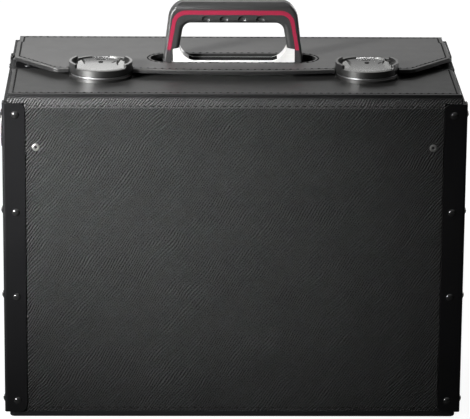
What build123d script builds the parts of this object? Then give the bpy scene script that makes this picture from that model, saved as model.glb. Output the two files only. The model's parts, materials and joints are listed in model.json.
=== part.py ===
"""Leather tool case with corner rails, a split top, two twist locks and a moulded handle.

Millimetres. X runs to the right, Y to the rear and Z up. The origin is on the
ground, under the middle of the case. The lid is hinged along the rear top edge
and the flap along the front top edge. Both are shown closed, with the two
twist locks at their released position.
"""

from build123d import *
import os
from math import cos, degrees, radians, sin

os.makedirs("parts", exist_ok=True)

# Overall box, over the corner rails, and the level of the flap's underside
case_width = 470.0
case_depth = 220.0
flap_level = 340.0

# Height of the base tray, the lid's step above the flap, and the gap where pieces only meet
tray_height = 6.0
lid_step = 9.0
seat_gap = 0.3

# Walls and boards
wall_gauge = 4.5
side_panel_gauge = 3.5
side_panel_drop = 2.0
floor_gauge = 4.0
tray_setback = 0.3
tray_corner = 5.0
tray_edge = 2.0

# Corner rails, folded from sheet
rail_gauge = 1.5
rail_top_drop = 6.0
rail_front_flange = 23.0
rail_side_flange = 20.0
rail_bend = 3.0
rail_corner = 7.5

# Rail rivets
rivet_head = 4.0
rivet_dome = 1.9
rivet_shank = 2.0
rivet_hole_clearance = 0.05
rivet_tail = 3.2
rivet_tail_height = 0.9
rivet_end_inset = 12.0
rivet_pair_height = 175.0
rivet_pair_gap = 90.0
rivet_front_inset = 13.5
rivet_side_inset = 11.0

# Hollow rivets in the front wall
eyelet_inset = 11.0
eyelet_drop = 52.0
eyelet_flange = 3.9
eyelet_tube = 2.4
eyelet_bore = 1.45
eyelet_lip = 0.8
eyelet_lip_edge = 0.32
eyelet_crown = 2.925
eyelet_mouth = 1.8125
eyelet_mouth_height = 0.4

# Leather hinge strips
strip_gauge = 1.2
strip_fold = 0.96
front_strip_drop = 11.0
rear_strip_drop = 18.0
front_strip_inset = 6.0

# Front flap
flap_inset = 6.6
flap_gauge = 4.0
flap_edge = 1.2
flap_corner = 3.0
flap_gap = 0.6

# Lid
lid_gauge = 4.0
lid_edge = 1.2
lid_inset = 8.0
lid_hinge_inset = 9.8
lid_notch_y = 84.0
lid_notch_run = 2.0
lid_side_end_y = 13.5
lid_bevel_reach = 47.4
lid_bevel_y = -38.5
lid_front_reach = 32.6
lid_front_y = -39.5
lid_nose_y = -47.5
lid_side_corner = 5.0
lid_bevel_corner = 12.0

# Slot for the handle in the lid
slot_end_gap = 12.5
slot_depth = 38.1
slot_y = 10.25
binding_width = 7.0
binding_gauge = 1.6

# Handle bridge, an extruded bar from side wall to side wall, level with the top of the flap
handle_y = 18.0
bridge_depth = 38.0
bridge_height = 14.0
bridge_plate = 2.0
bridge_edge = 1.0
ledge_depth = 12.0
bridge_end_gap = 0.3

# Bridge brackets
bracket_gauge = 1.5
bracket_depth = 32.0
bracket_arm = 20.0
bracket_drop = 28.0
bracket_rivet_drop = 18.0
bracket_rivet_pitch = 16.0
bracket_rivet_reach = 12.0
small_rivet_shank = 1.6
small_rivet_head = 3.2
small_rivet_dome = 0.8

# Moulded handle, its height and those of its pieces taken from the top of the bridge
handle_base_width = 147.0
handle_shoulder_x = 65.0
handle_height = 69.0
handle_outer_radius = 21.0
handle_inner_radius = 9.0
grip_thickness = 23.0
handle_leg_top = 13.6
handle_leg_foot = 14.3
grip_depth = 20.0
grip_crown = 9.0
handle_outer_fillet = 3.4
handle_inner_fillet = 5.0
dimple_count = 4
dimple_pitch = 19.0
dimple_radius = 5.0
dimple_depth = 1.6
dimple_angle = 45.0

# Inlay in the handle's faces, from the outer edge of the legs
stripe_foot_rise = 18.0
stripe_foot_margin = 5.1
stripe_foot_width = 3.6
stripe_shoulder_margin = 3.5
stripe_shoulder_width = 3.5
stripe_top_drop = 9.2
stripe_width = 4.6
stripe_outer_radius = 15.0
stripe_inner_radius = 11.0
stripe_inset = 1.2
stripe_proud = 0.2

# Metal base of the handle, from the outer edge of the legs
base_end_margin = 9.5
base_rise = 6.5
gusset_rise = 20.0
gusset_peak_margin = 17.7
gusset_foot_margin = 32.5
gusset_waist_margin = 22.9
gusset_waist_rise = 11.6
gusset_shoulder_drop = 1.0
gusset_rib = 3.2
gusset_rib_peak = 1.28
gusset_rib_waist = 2.24
base_depth = 17.0
rib_proud = 0.7
seam_rise = 13.0
seam_width = 0.7
seam_cut = 0.5

# Handle fixings
handle_bolt_margin = 23.5
handle_bolt_shank = 3.0
handle_bolt_clearance = 0.3
handle_bolt_fit = 0.05
handle_bolt_depth = 6.5
handle_bolt_flats = 10.0
handle_bolt_head = 4.0
backing_end = 12.0
backing_depth = 16.0
backing_gauge = 2.0

# Middle wall and its channels
middle_wall_gauge = 4.0
middle_wall_clearance = 3.0
middle_wall_end_gap = 0.6
channel_gauge = 1.2
channel_reach = 12.0
channel_top_gap = 3.0
channel_clearance = 0.3

# Carrying rings on the side panels
ring_drop = 39.0
ring_wire = 2.25
ring_half_width = 17.0
ring_arm = 16.0
ring_corner = 5.0
ring_fit = 0.08
tab_width = 30.0
tab_rise = 20.0
tab_drop = 26.0
tab_gauge = 1.6
tab_corner = 5.0
knuckle_length = 20.0
knuckle_wall = 1.6
knuckle_stand = 3.4
tab_rivet_y = 9.5
tab_rivet_rise = 13.0
tab_rivet_drop = 19.0

# Twist locks, with the rim above the lid and the crown, ears, lips and scoops from the rim
lock_inset = 98.4
lock_y = -34.0
knob_radius = 32.4
knob_gap = 0.8
knob_skirt = 3.0
knob_rim_rise = 4.0
knob_crown_rise = 1.8
knob_crown_mid_rise = 1.35
knob_roof_rise = 1.9
knob_rim_edge = 0.8
ear_rise = 3.6
ear_wall = 2.6
ear_half_angle = 37.0
lip_rise = 1.2
lip_angle = 72.0
knob_waist = 16.0
waist_curve = 50.0
scoop_drop = 2.4
scoop_angle = 6.0
rim_groove_radius = 30.6
rim_groove_width = 0.7
rim_groove_angle = 41.0
mark_radius = 26.5
mark_half_angle = 10.0
mark_width = 1.4
mark_depth = 0.6
pointer_x = 13.4
pointer_y = 1.5
pointer_length = 9.0
pointer_angle = 64.0
hub_radius = 9.0
hub_fit = 0.06
lug_radius = 2.2
lug_orbit = 22.0
lug_clearance = 0.4
turn_angle = 90.0

# Lock carrier under the lid
carrier_gauge = 1.2
carrier_radius = 31.0
carrier_tail_width = 44.0
carrier_tail_end_y = 14.0
carrier_tail_corner = 6.0
carrier_rivet_x = 14.0
carrier_rivet_y = 7.0
carrier_rivet_depth = 2.6

# Lock base on the flap
base_radius = 32.2
base_rim = 3.6
base_height = 3.5
base_floor = 1.4
base_edge = 0.6
key_slot_length = 31.0
key_slot_width = 13.0
key_slot_corner = 3.0
flap_hole_radius = 16.5
base_screw_orbit = 21.0
base_screw_head = 2.6
base_screw_shank = 1.3
base_screw_fit = 0.05
base_screw_depth = 3.0
base_screw_angles = (60.0, 120.0, 240.0, 300.0)

# Cross bolt under the knob
collar_radius = 12.0
collar_gauge = 1.1
bolt_shaft_radius = 4.4
cross_length = 26.0
cross_width = 9.0
cross_height = 3.2
cross_corner = 2.25
cross_gap = 0.6
cross_chamfer = 0.8
knob_screw_head = 2.4
knob_screw_head_height = 0.7
knob_screw_shank = 1.7
knob_screw_fit = 0.05

# Countersunk heads, and how near an edge lies to where it is looked for
countersink_angle = 90.0
pick_tolerance = 0.01

# Faces and levels worked out from the sizes above
rail_face_x = case_width / 2
rail_face_y = case_depth / 2
panel_face_x = rail_face_x - rail_gauge
wall_face_x = panel_face_x - side_panel_gauge
wall_inner_x = wall_face_x - wall_gauge
wall_face_y = rail_face_y - rail_gauge
wall_inner_y = wall_face_y - wall_gauge
rail_top = flap_level - rail_top_drop
rail_height = rail_top - tray_height
side_panel_height = rail_height - side_panel_drop
lid_level = flap_level + lid_step
front_wall_top = flap_level - seat_gap
rear_wall_top = lid_level - seat_gap
flap_top = flap_level + flap_gauge
lid_top = lid_level + lid_gauge
floor_top = tray_height + floor_gauge
eyelet_height = flap_level - eyelet_drop
ring_height = rail_top - ring_drop
bridge_level = flap_top
bridge_front_y = handle_y - bridge_depth / 2
bridge_rear_y = handle_y + bridge_depth / 2
flap_rear_y = bridge_front_y - flap_gap
bracket_top = bridge_level - bridge_plate
backing_level = bracket_top - backing_gauge
middle_wall_top = backing_level - handle_bolt_head - middle_wall_clearance
channel_top = bracket_top - bracket_drop - channel_top_gap
rivet_hole = rivet_shank + rivet_hole_clearance
small_rivet_hole = small_rivet_shank + rivet_hole_clearance
handle_top = bridge_level + handle_height
handle_inner_top = handle_top - grip_thickness
stripe_foot_z = bridge_level + stripe_foot_rise
stripe_top_z = handle_top - stripe_top_drop
base_top = bridge_level + base_rise
gusset_peak_z = bridge_level + gusset_rise
gusset_waist_z = bridge_level + gusset_waist_rise
seam_z = bridge_level + seam_rise
carrier_level = lid_level - carrier_gauge
knob_bottom = lid_level + seat_gap
knob_roof_z = lid_level + knob_roof_rise
knob_rim_z = lid_top + knob_rim_rise
knob_crown_z = knob_rim_z + knob_crown_rise
knob_crown_mid_z = knob_rim_z + knob_crown_mid_rise
ear_top_z = knob_rim_z + ear_rise
lip_top_z = knob_rim_z + lip_rise
scoop_mid_z = knob_rim_z - scoop_drop
collar_top = carrier_level - seat_gap
cross_top = flap_top - cross_gap
cross_bottom = cross_top - cross_height
rail_rivet_heights = (
    tray_height + rivet_end_inset,
    rivet_pair_height - rivet_pair_gap / 2,
    rivet_pair_height + rivet_pair_gap / 2,
    rail_top - rivet_end_inset,
)
rail_rivet_x = rail_face_x - rivet_front_inset
rail_rivet_y = rail_face_y - rivet_side_inset
eyelet_x = rail_face_x - rail_front_flange - eyelet_inset
front_strip_width = case_width - 2 * front_strip_inset
flap_width = case_width - 2 * flap_inset
lid_width = case_width - 2 * lid_inset
lid_hinge_width = case_width - 2 * lid_hinge_inset
slot_length = handle_base_width + 2 * slot_end_gap
handle_foot_x = handle_base_width / 2
handle_inner_top_x = handle_shoulder_x - handle_leg_top
handle_inner_base_x = handle_foot_x - handle_leg_foot
stripe_foot_outer_x = handle_foot_x - stripe_foot_margin
stripe_foot_inner_x = stripe_foot_outer_x - stripe_foot_width
stripe_shoulder_x = handle_shoulder_x - stripe_shoulder_margin
stripe_inner_shoulder_x = stripe_shoulder_x - stripe_shoulder_width
base_half_width = handle_foot_x - base_end_margin
gusset_peak_x = handle_foot_x - gusset_peak_margin
gusset_foot_x = handle_foot_x - gusset_foot_margin
gusset_waist_x = handle_foot_x - gusset_waist_margin
handle_bolt_x = handle_foot_x - handle_bolt_margin
backing_length = 2 * (handle_bolt_x + backing_end)
lock_x = rail_face_x - lock_inset
lid_bevel_x = lock_x + lid_bevel_reach
lid_front_x = lock_x - lid_front_reach
ring_centre_x = panel_face_x + tab_gauge + knuckle_stand
side_names = ((-1, "left"), (1, "right"))
end_names = ((-1, "front"), (1, "rear"))


def facing_y(x, z, face_y, side):
    """Place on a front or rear face, with its Z axis pointing out of the case."""
    return Plane(origin=(x, side * face_y, z), x_dir=(1, 0, 0), z_dir=(0, side, 0)).location


def facing_x(y, z, face_x, side):
    """Place on a left or right face, with its Z axis pointing out of the case."""
    return Plane(origin=(side * face_x, y, z), x_dir=(0, 1, 0), z_dir=(side, 0, 0)).location


def stem_points(shank, grip, tail, tail_height):
    """Half outline of a shank, with a formed tail where one is given."""
    if not tail:
        return [(shank, -grip), (0, -grip)]
    foot = -grip - tail_height
    return [(shank, -grip), (tail, -grip), (tail, foot), (0, foot)]


def make_rivet(head, dome, shank, grip, tail=0, tail_height=0):
    """One rivet on the Z axis, with the underside of its domed head at Z = 0."""
    stem = stem_points(shank, grip, tail, tail_height)
    with BuildPart() as rivet:
        with BuildSketch(Plane.XZ):
            with BuildLine():
                crown = ThreePointArc((0, dome), (head * 0.6, dome * 0.72), (head, dome * 0.12))
                Polyline(crown @ 1, (head, 0), (shank, 0), *stem, (0, dome))
            make_face()
        revolve(axis=Axis.Z)
    return rivet.part


def make_flush_rivet(head, shank, grip, tail=0, tail_height=0):
    """One rivet or screw on the Z axis, with the face of its 90 degree countersunk head at Z = 0."""
    stem = stem_points(shank, grip, tail, tail_height)
    with BuildPart() as rivet:
        with BuildSketch(Plane.XZ):
            with BuildLine():
                Polyline((0, 0), (head, 0), (shank, shank - head), *stem, close=True)
            make_face()
        revolve(axis=Axis.Z)
    return rivet.part


def round_hole(locations, radius, depth):
    """Cuts a round hole from each place down its own Z axis."""
    with Locations(*locations):
        Cylinder(radius, depth, align=(Align.CENTER, Align.CENTER, Align.MAX), mode=Mode.SUBTRACT)


def rail_places_y(side):
    """Rivet places on the front or rear flanges of both rails of one end."""
    return [
        facing_y(x * rail_rivet_x, z, rail_face_y, side) for x in (-1, 1) for z in rail_rivet_heights
    ]


def rail_places_x(side):
    """Rivet places on the side flanges of both rails of one side."""
    return [
        facing_x(y * rail_rivet_y, z, rail_face_x, side) for y in (-1, 1) for z in rail_rivet_heights
    ]


def tab_rivet_places(side):
    """Rivet places on a ring tab."""
    heights = (ring_height + tab_rivet_rise, ring_height - tab_rivet_drop)
    face = panel_face_x + tab_gauge
    return [facing_x(y * tab_rivet_y, z, face, side) for y in (-1, 1) for z in heights]


def bracket_wall_places(side):
    """Places of the flush rivets through a side wall into its bridge bracket."""
    height = bracket_top - bracket_rivet_drop
    pitch = bracket_rivet_pitch / 2
    return [facing_x(handle_y + k * pitch, height, wall_face_x, side) for k in (-1, 1)]


def bracket_top_places(side):
    """Places of the rivets through the bridge into one bracket."""
    x = side * (wall_inner_x - bracket_rivet_reach)
    pitch = bracket_rivet_pitch / 2
    return [Location((x, handle_y + k * pitch, bridge_level)) for k in (-1, 1)]


def handle_bolt_places(z):
    """Places of the two handle bolts at one level."""
    return [Location((side * handle_bolt_x, handle_y, z)) for side in (-1, 1)]


def slot_sketch(grow):
    """Outline of the handle slot in the lid, grown all round."""
    with BuildSketch(mode=Mode.PRIVATE) as outline:
        with Locations((0, slot_y)):
            SlotOverall(slot_length + 2 * grow, slot_depth + 2 * grow)
    return outline.sketch


# Base tray, the black strip seen below the rails
with BuildPart() as bottom_tray:
    with BuildSketch():
        Rectangle(2 * wall_face_x, 2 * (wall_face_y - tray_setback))
        fillet(vertices(), tray_corner)
    extrude(amount=tray_height)
    fillet(faces().sort_by(Axis.Z)[0].edges(), tray_edge)
bottom_tray.part.label = "bottom_tray"
export_step(bottom_tray.part, "parts/bottom_tray.step")

# Floor board inside the walls
with BuildPart() as floor_board:
    with BuildSketch(Plane.XY.offset(tray_height)):
        Rectangle(2 * wall_inner_x, 2 * wall_inner_y)
    extrude(amount=floor_gauge)
floor_board.part.label = "floor_board"
export_step(floor_board.part, "parts/floor_board.step")


def build_end_wall(side, name, top):
    """Front or rear wall board, with its rivet holes."""
    with BuildPart() as wall:
        with BuildSketch(Plane.XY.offset(tray_height)):
            with Locations((0, side * (wall_face_y - wall_gauge / 2))):
                Rectangle(2 * wall_face_x, wall_gauge)
        extrude(amount=top - tray_height)
        round_hole(rail_places_y(side), rivet_hole, rail_gauge + wall_gauge)
        if name == "front":
            round_hole(eyelet_places(), eyelet_tube, wall_gauge)
    wall.part.label = f"{name}_wall"
    export_step(wall.part, f"parts/{name}_wall.step")


def eyelet_places():
    """Places of the two hollow rivets in the front wall."""
    return [facing_y(x * eyelet_x, eyelet_height, wall_face_y, -1) for x in (-1, 1)]


build_end_wall(-1, "front", front_wall_top)
build_end_wall(1, "rear", rear_wall_top)


def build_side_wall(side, name):
    """Side wall board, stepped up beside the bridge and again under the lid."""
    with BuildPart() as wall:
        with BuildSketch(Plane.YZ.offset(side * wall_face_x)):
            with BuildLine():
                Polyline(
                    (-wall_inner_y, tray_height),
                    (wall_inner_y, tray_height),
                    (wall_inner_y, rear_wall_top),
                    (bridge_rear_y, rear_wall_top),
                    (bridge_rear_y, bridge_level),
                    (bridge_front_y, bridge_level),
                    (bridge_front_y, front_wall_top),
                    (-wall_inner_y, front_wall_top),
                    close=True,
                )
            make_face()
        extrude(amount=-side * wall_gauge)
        through = rail_gauge + side_panel_gauge + wall_gauge
        round_hole(rail_places_x(side), rivet_hole, through)
        round_hole(tab_rivet_places(side), small_rivet_hole, tab_gauge + side_panel_gauge + wall_gauge)
        with Locations(*bracket_wall_places(side)):
            sunk_head = small_rivet_head + rivet_hole_clearance
            CounterSinkHole(small_rivet_hole, sunk_head, wall_gauge, countersink_angle)
    wall.part.label = f"{name}_side_wall"
    export_step(wall.part, f"parts/{name}_side_wall.step")


def build_side_panel(side, name):
    """Outer panel that stiffens a side, held under the rails."""
    with BuildPart() as panel:
        with BuildSketch(Plane.XY.offset(tray_height)):
            with Locations((side * (wall_face_x + side_panel_gauge / 2), 0)):
                Rectangle(side_panel_gauge, 2 * wall_face_y)
            outer = vertices().group_by(Axis.X)[-1 if side > 0 else 0]
            fillet(outer, rail_bend - rail_gauge)
        extrude(amount=side_panel_height)
        round_hole(rail_places_x(side), rivet_hole, rail_gauge + side_panel_gauge)
        round_hole(tab_rivet_places(side), small_rivet_hole, tab_gauge + side_panel_gauge)
    panel.part.label = f"{name}_side_panel"
    export_step(panel.part, f"parts/{name}_side_panel.step")


for side, name in side_names:
    build_side_wall(side, name)
    build_side_panel(side, name)


def build_rail(x_side, y_side, name):
    """Corner rail folded from sheet, with rounded flange ends and rivet holes."""
    corner = (x_side * rail_face_x, y_side * rail_face_y)
    with BuildPart() as rail:
        with BuildSketch(Plane.XY.offset(tray_height)):
            with BuildLine():
                path = FilletPolyline(
                    (corner[0] - x_side * rail_front_flange, corner[1] - y_side * rail_gauge / 2),
                    (corner[0] - x_side * rail_gauge / 2, corner[1] - y_side * rail_gauge / 2),
                    (corner[0] - x_side * rail_gauge / 2, corner[1] - y_side * rail_side_flange),
                    radius=rail_bend - rail_gauge / 2,
                )
            trace(path, rail_gauge)
        extrude(amount=rail_height)
        front_free = edges().filter_by(Axis.Y).group_by(Axis.X)[0 if x_side > 0 else -1]
        side_free = edges().filter_by(Axis.X).group_by(Axis.Y)[0 if y_side > 0 else -1]
        fillet(front_free + side_free, rail_corner)
        holes_y = [
            facing_y(x_side * rail_rivet_x, z, rail_face_y, y_side) for z in rail_rivet_heights
        ]
        holes_x = [
            facing_x(y_side * rail_rivet_y, z, rail_face_x, x_side) for z in rail_rivet_heights
        ]
        round_hole(holes_y + holes_x, rivet_hole, rail_gauge)
    rail.part.label = f"{name}_rail"
    export_step(rail.part, f"parts/{name}_rail.step")

    front_grip = rail_gauge + wall_gauge
    side_grip = rail_gauge + side_panel_gauge + wall_gauge
    front_rivet = make_rivet(
        rivet_head, rivet_dome, rivet_shank, front_grip, rivet_tail, rivet_tail_height
    )
    side_rivet = make_rivet(
        rivet_head, rivet_dome, rivet_shank, side_grip, rivet_tail, rivet_tail_height
    )
    with BuildPart() as rivets:
        with Locations(*holes_y):
            add(front_rivet)
        with Locations(*holes_x):
            add(side_rivet)
    rivets.part.label = f"{name}_rail_rivets"
    export_step(rivets.part, f"parts/{name}_rail_rivets.step")


for y_side, end in end_names:
    for x_side, side in side_names:
        build_rail(x_side, y_side, f"{end}_{side}")

# Hollow rivets in the front wall
with BuildPart() as eyelet:
    with BuildSketch(Plane.XZ):
        with BuildLine():
            Polyline(
                (eyelet_bore, -wall_gauge - eyelet_lip),
                (eyelet_flange, -wall_gauge - eyelet_lip),
                (eyelet_flange, -wall_gauge),
                (eyelet_tube, -wall_gauge),
                (eyelet_tube, 0),
                (eyelet_flange, 0),
                (eyelet_flange, eyelet_lip_edge),
                (eyelet_crown, eyelet_lip),
                (eyelet_mouth, eyelet_lip),
                (eyelet_bore, eyelet_mouth_height),
                close=True,
            )
        make_face()
    revolve(axis=Axis.Z)
with BuildPart() as front_eyelets:
    with Locations(*eyelet_places()):
        add(eyelet.part)
front_eyelets.part.label = "front_eyelets"
export_step(front_eyelets.part, "parts/front_eyelets.step")


def build_hinge_strip(side, name, width, bottom, top):
    """Leather strip from an end wall up to the edge of the flap or lid, narrowed between the rails."""
    between_rails = 2 * (rail_face_x - rail_front_flange - seat_gap)
    shoulder = rail_top + seat_gap
    with BuildPart() as strip:
        with BuildSketch(Plane.XZ.offset(-side * wall_face_y)):
            with Locations((0, (bottom + top) / 2)):
                Rectangle(between_rails, top - bottom)
            with Locations((0, (shoulder + top) / 2)):
                Rectangle(width, top - shoulder)
        extrude(amount=-side * strip_gauge)
        outer = edges().filter_by(Axis.X).group_by(Axis.Z)[-1]
        fillet(outer.sort_by(Axis.Y)[-1 if side > 0 else 0], strip_fold)
    strip.part.label = f"{name}_hinge_strip"
    export_step(strip.part, f"parts/{name}_hinge_strip.step")


build_hinge_strip(-1, "front", front_strip_width, flap_level - front_strip_drop, flap_top)
build_hinge_strip(1, "rear", lid_hinge_width, lid_level - rear_strip_drop, lid_top)

# Bridge bar that carries the handle, with a ledge for the flap's rear edge
with BuildPart() as bridge:
    with BuildSketch(Plane.YZ.offset(-wall_inner_x + bridge_end_gap)):
        with Locations((handle_y, bridge_level - bridge_height / 2)):
            Rectangle(bridge_depth, bridge_height)
        top_corners = vertices().group_by(Axis.Y)[-1]
        fillet(top_corners, bridge_edge)
        inner_height = bridge_height - bridge_plate
        with Locations((handle_y, bridge_level - bridge_plate - inner_height / 2)):
            Rectangle(bridge_depth - 2 * bridge_plate, inner_height, mode=Mode.SUBTRACT)
        with Locations((bridge_front_y - ledge_depth / 2, front_wall_top - bridge_plate / 2)):
            Rectangle(ledge_depth, bridge_plate)
    extrude(amount=2 * (wall_inner_x - bridge_end_gap))
    round_hole(
        handle_bolt_places(bridge_level), handle_bolt_shank + handle_bolt_clearance, bridge_plate
    )
    for side in (-1, 1):
        round_hole(bracket_top_places(side), small_rivet_hole, bridge_plate)
bridge.part.label = "bridge"
export_step(bridge.part, "parts/bridge.step")


def build_bracket(side, name):
    """Angle bracket that hangs one end of the bridge on its side wall."""
    with BuildPart() as bracket:
        with BuildSketch(Plane.XZ.offset(-handle_y)):
            with BuildLine():
                Polyline(
                    (side * wall_inner_x, bracket_top),
                    (side * (wall_inner_x - bracket_arm), bracket_top),
                    (side * (wall_inner_x - bracket_arm), bracket_top - bracket_gauge),
                    (side * (wall_inner_x - bracket_gauge), bracket_top - bracket_gauge),
                    (side * (wall_inner_x - bracket_gauge), bracket_top - bracket_drop),
                    (side * wall_inner_x, bracket_top - bracket_drop),
                    close=True,
                )
            make_face()
        extrude(amount=bracket_depth / 2, both=True)
        round_hole(bracket_top_places(side), small_rivet_hole, bridge_plate + bracket_gauge)
        round_hole(bracket_wall_places(side), small_rivet_hole, wall_gauge + bracket_gauge)
    bracket.part.label = f"{name}_bridge_bracket"
    export_step(bracket.part, f"parts/{name}_bridge_bracket.step")


for side, name in side_names:
    build_bracket(side, name)

# Rivets of the bridge and its brackets
bridge_rivet = make_rivet(
    small_rivet_head,
    small_rivet_dome,
    small_rivet_shank,
    bridge_plate + bracket_gauge,
    small_rivet_head,
    small_rivet_dome,
)
wall_rivet = make_flush_rivet(
    small_rivet_head,
    small_rivet_shank,
    wall_gauge + bracket_gauge,
    small_rivet_head,
    small_rivet_dome,
)
with BuildPart() as bridge_rivets:
    for side in (-1, 1):
        with Locations(*bracket_top_places(side)):
            add(bridge_rivet)
        with Locations(*bracket_wall_places(side)):
            add(wall_rivet)
bridge_rivets.part.label = "bridge_rivets"
export_step(bridge_rivets.part, "parts/bridge_rivets.step")


def base_outline():
    """Front view of the handle's metal base, with its two swept gussets."""
    with BuildSketch(Plane.XZ, mode=Mode.PRIVATE) as outline:
        with BuildLine():
            for side in (-1, 1):
                ThreePointArc(
                    (side * gusset_peak_x, gusset_peak_z),
                    (side * gusset_waist_x, gusset_waist_z),
                    (side * gusset_foot_x, base_top),
                )
                Polyline(
                    (side * gusset_peak_x, gusset_peak_z),
                    (side * base_half_width, gusset_peak_z - gusset_shoulder_drop),
                    (side * base_half_width, bridge_level),
                )
            Line((-gusset_foot_x, base_top), (gusset_foot_x, base_top))
            Line((-base_half_width, bridge_level), (base_half_width, bridge_level))
        make_face()
    return outline.sketch


def stripe_outline():
    """Front view of the inlay, wider over the grip than down the legs."""
    with BuildSketch(Plane.XZ, mode=Mode.PRIVATE) as outline:
        with BuildLine():
            outer = FilletPolyline(
                (-stripe_foot_outer_x, stripe_foot_z),
                (-stripe_shoulder_x, stripe_top_z),
                (stripe_shoulder_x, stripe_top_z),
                (stripe_foot_outer_x, stripe_foot_z),
                radius=stripe_outer_radius,
            )
            inner = FilletPolyline(
                (-stripe_foot_inner_x, stripe_foot_z),
                (-stripe_inner_shoulder_x, stripe_top_z - stripe_width),
                (stripe_inner_shoulder_x, stripe_top_z - stripe_width),
                (stripe_foot_inner_x, stripe_foot_z),
                radius=stripe_inner_radius,
            )
            Line(outer @ 0, inner @ 0)
            Line(outer @ 1, inner @ 1)
        make_face()
    return outline.sketch


# Moulded grip, an arch with a rounded crown, dimples, and seats for the base and the inlay
with BuildPart() as handle_grip:
    with BuildSketch(Plane.XZ.offset(-handle_y)):
        with BuildLine():
            FilletPolyline(
                (-handle_base_width / 2, bridge_level),
                (-handle_shoulder_x, handle_top),
                (handle_shoulder_x, handle_top),
                (handle_base_width / 2, bridge_level),
                radius=handle_outer_radius,
            )
            Line((-handle_base_width / 2, bridge_level), (handle_base_width / 2, bridge_level))
        make_face()
    extrude(amount=grip_depth / 2, both=True)
    arch_edges = faces().filter_by(Axis.Y).edges().group_by(Axis.Z)[1:]
    fillet([edge for group in arch_edges for edge in group], handle_outer_fillet)
    with BuildSketch(Plane.XZ.offset(-handle_y)):
        with BuildLine():
            FilletPolyline(
                (-handle_inner_base_x, bridge_level),
                (-handle_inner_top_x, handle_inner_top),
                (handle_inner_top_x, handle_inner_top),
                (handle_inner_base_x, bridge_level),
                radius=handle_inner_radius,
            )
            Line((-handle_inner_base_x, bridge_level), (handle_inner_base_x, bridge_level))
        make_face()
    extrude(amount=grip_depth / 2, both=True, mode=Mode.SUBTRACT)
    cut_edges = edges(Select.LAST).filter_by(lambda e: e.center().Z > bridge_level + pick_tolerance)
    fillet(
        cut_edges.filter_by(
            lambda e: abs(abs(e.center().Y - handle_y) - grip_depth / 2) < pick_tolerance
        ),
        handle_inner_fillet,
    )
    with BuildSketch(Plane.YZ):
        with BuildLine():
            FilletPolyline(
                (handle_y - grip_depth / 2, bridge_level),
                (handle_y - grip_depth / 2, handle_top),
                (handle_y + grip_depth / 2, handle_top),
                (handle_y + grip_depth / 2, bridge_level),
                radius=grip_crown,
            )
            Line(
                (handle_y - grip_depth / 2, bridge_level), (handle_y + grip_depth / 2, bridge_level)
            )
        make_face()
    extrude(amount=handle_base_width, both=True, mode=Mode.INTERSECT)
    dimple_reach = (handle_inner_fillet + dimple_radius - dimple_depth) * cos(radians(dimple_angle))
    for y_side in (-1, 1):
        dimple_y = handle_y + y_side * (grip_depth / 2 - handle_inner_fillet + dimple_reach)
        dimple_z = handle_inner_top + handle_inner_fillet - dimple_reach
        with Locations((0, dimple_y, dimple_z)):
            with GridLocations(dimple_pitch, 1, dimple_count, 1):
                Sphere(dimple_radius, mode=Mode.SUBTRACT)
    base_space = base_outline().moved(Location((0, handle_y, 0)))
    extrude(base_space, amount=grip_depth, both=True, mode=Mode.SUBTRACT)
    for y_side in (-1, 1):
        seat = Location((0, handle_y + y_side * grip_depth / 2, 0))
        extrude(stripe_outline().moved(seat), amount=y_side * stripe_inset, mode=Mode.SUBTRACT)
handle_grip.part.label = "handle_grip"
export_step(handle_grip.part, "parts/handle_grip.step")


def build_stripe(y_side, name):
    """Coloured inlay that stands a little proud of one face of the handle."""
    outer_face = handle_y + y_side * (grip_depth / 2 + stripe_proud)
    with BuildPart() as stripe:
        outline = stripe_outline().moved(Location((0, outer_face, 0)))
        extrude(outline, amount=y_side * (stripe_inset + stripe_proud))
    stripe.part.label = f"handle_{name}_stripe"
    export_step(stripe.part, f"parts/handle_{name}_stripe.step")


for y_side, name in end_names:
    build_stripe(y_side, name)

# Metal base of the handle, with a rib along each swept edge and a seam across each gusset
with BuildPart() as handle_base:
    extrude(base_outline().moved(Location((0, handle_y, 0))), amount=base_depth / 2, both=True)
    for side in (-1, 1):
        with BuildSketch(Plane.XZ.offset(-handle_y)):
            with BuildLine():
                outer = ThreePointArc(
                    (side * gusset_peak_x, gusset_peak_z),
                    (side * gusset_waist_x, gusset_waist_z),
                    (side * gusset_foot_x, base_top),
                )
                inner = ThreePointArc(
                    (side * (gusset_peak_x + gusset_rib_peak), gusset_peak_z - gusset_rib),
                    (side * (gusset_waist_x + gusset_rib_waist), gusset_waist_z - gusset_rib_waist),
                    (side * (gusset_foot_x + gusset_rib), base_top - gusset_rib),
                )
                Line(outer @ 0, inner @ 0)
                Line(outer @ 1, inner @ 1)
            make_face()
        extrude(amount=base_depth / 2 + rib_proud, both=True)
        seam_centre = side * (base_half_width + gusset_waist_x + gusset_rib) / 2
        seam_length = base_half_width - gusset_waist_x - 2 * gusset_rib
        for y_side in (-1, 1):
            with Locations((seam_centre, handle_y + y_side * base_depth / 2, seam_z)):
                Box(seam_length, 2 * seam_cut, seam_width, mode=Mode.SUBTRACT)
    bore_depth = backing_gauge + bridge_plate + handle_bolt_depth
    with Locations(*handle_bolt_places(bridge_level)):
        Cylinder(
            handle_bolt_shank + handle_bolt_fit,
            handle_bolt_depth + handle_bolt_clearance,
            align=(Align.CENTER, Align.CENTER, Align.MIN),
            mode=Mode.SUBTRACT,
        )
handle_base.part.label = "handle_base"
export_step(handle_base.part, "parts/handle_base.step")

# Backing plate under the bridge
with BuildPart() as handle_backing_plate:
    with BuildSketch(Plane.XY.offset(backing_level)):
        with Locations((0, handle_y)):
            SlotOverall(backing_length, backing_depth)
    extrude(amount=backing_gauge)
    round_hole(
        handle_bolt_places(backing_level + backing_gauge),
        handle_bolt_shank + handle_bolt_clearance,
        backing_gauge,
    )
handle_backing_plate.part.label = "handle_backing_plate"
export_step(handle_backing_plate.part, "parts/handle_backing_plate.step")

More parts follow.
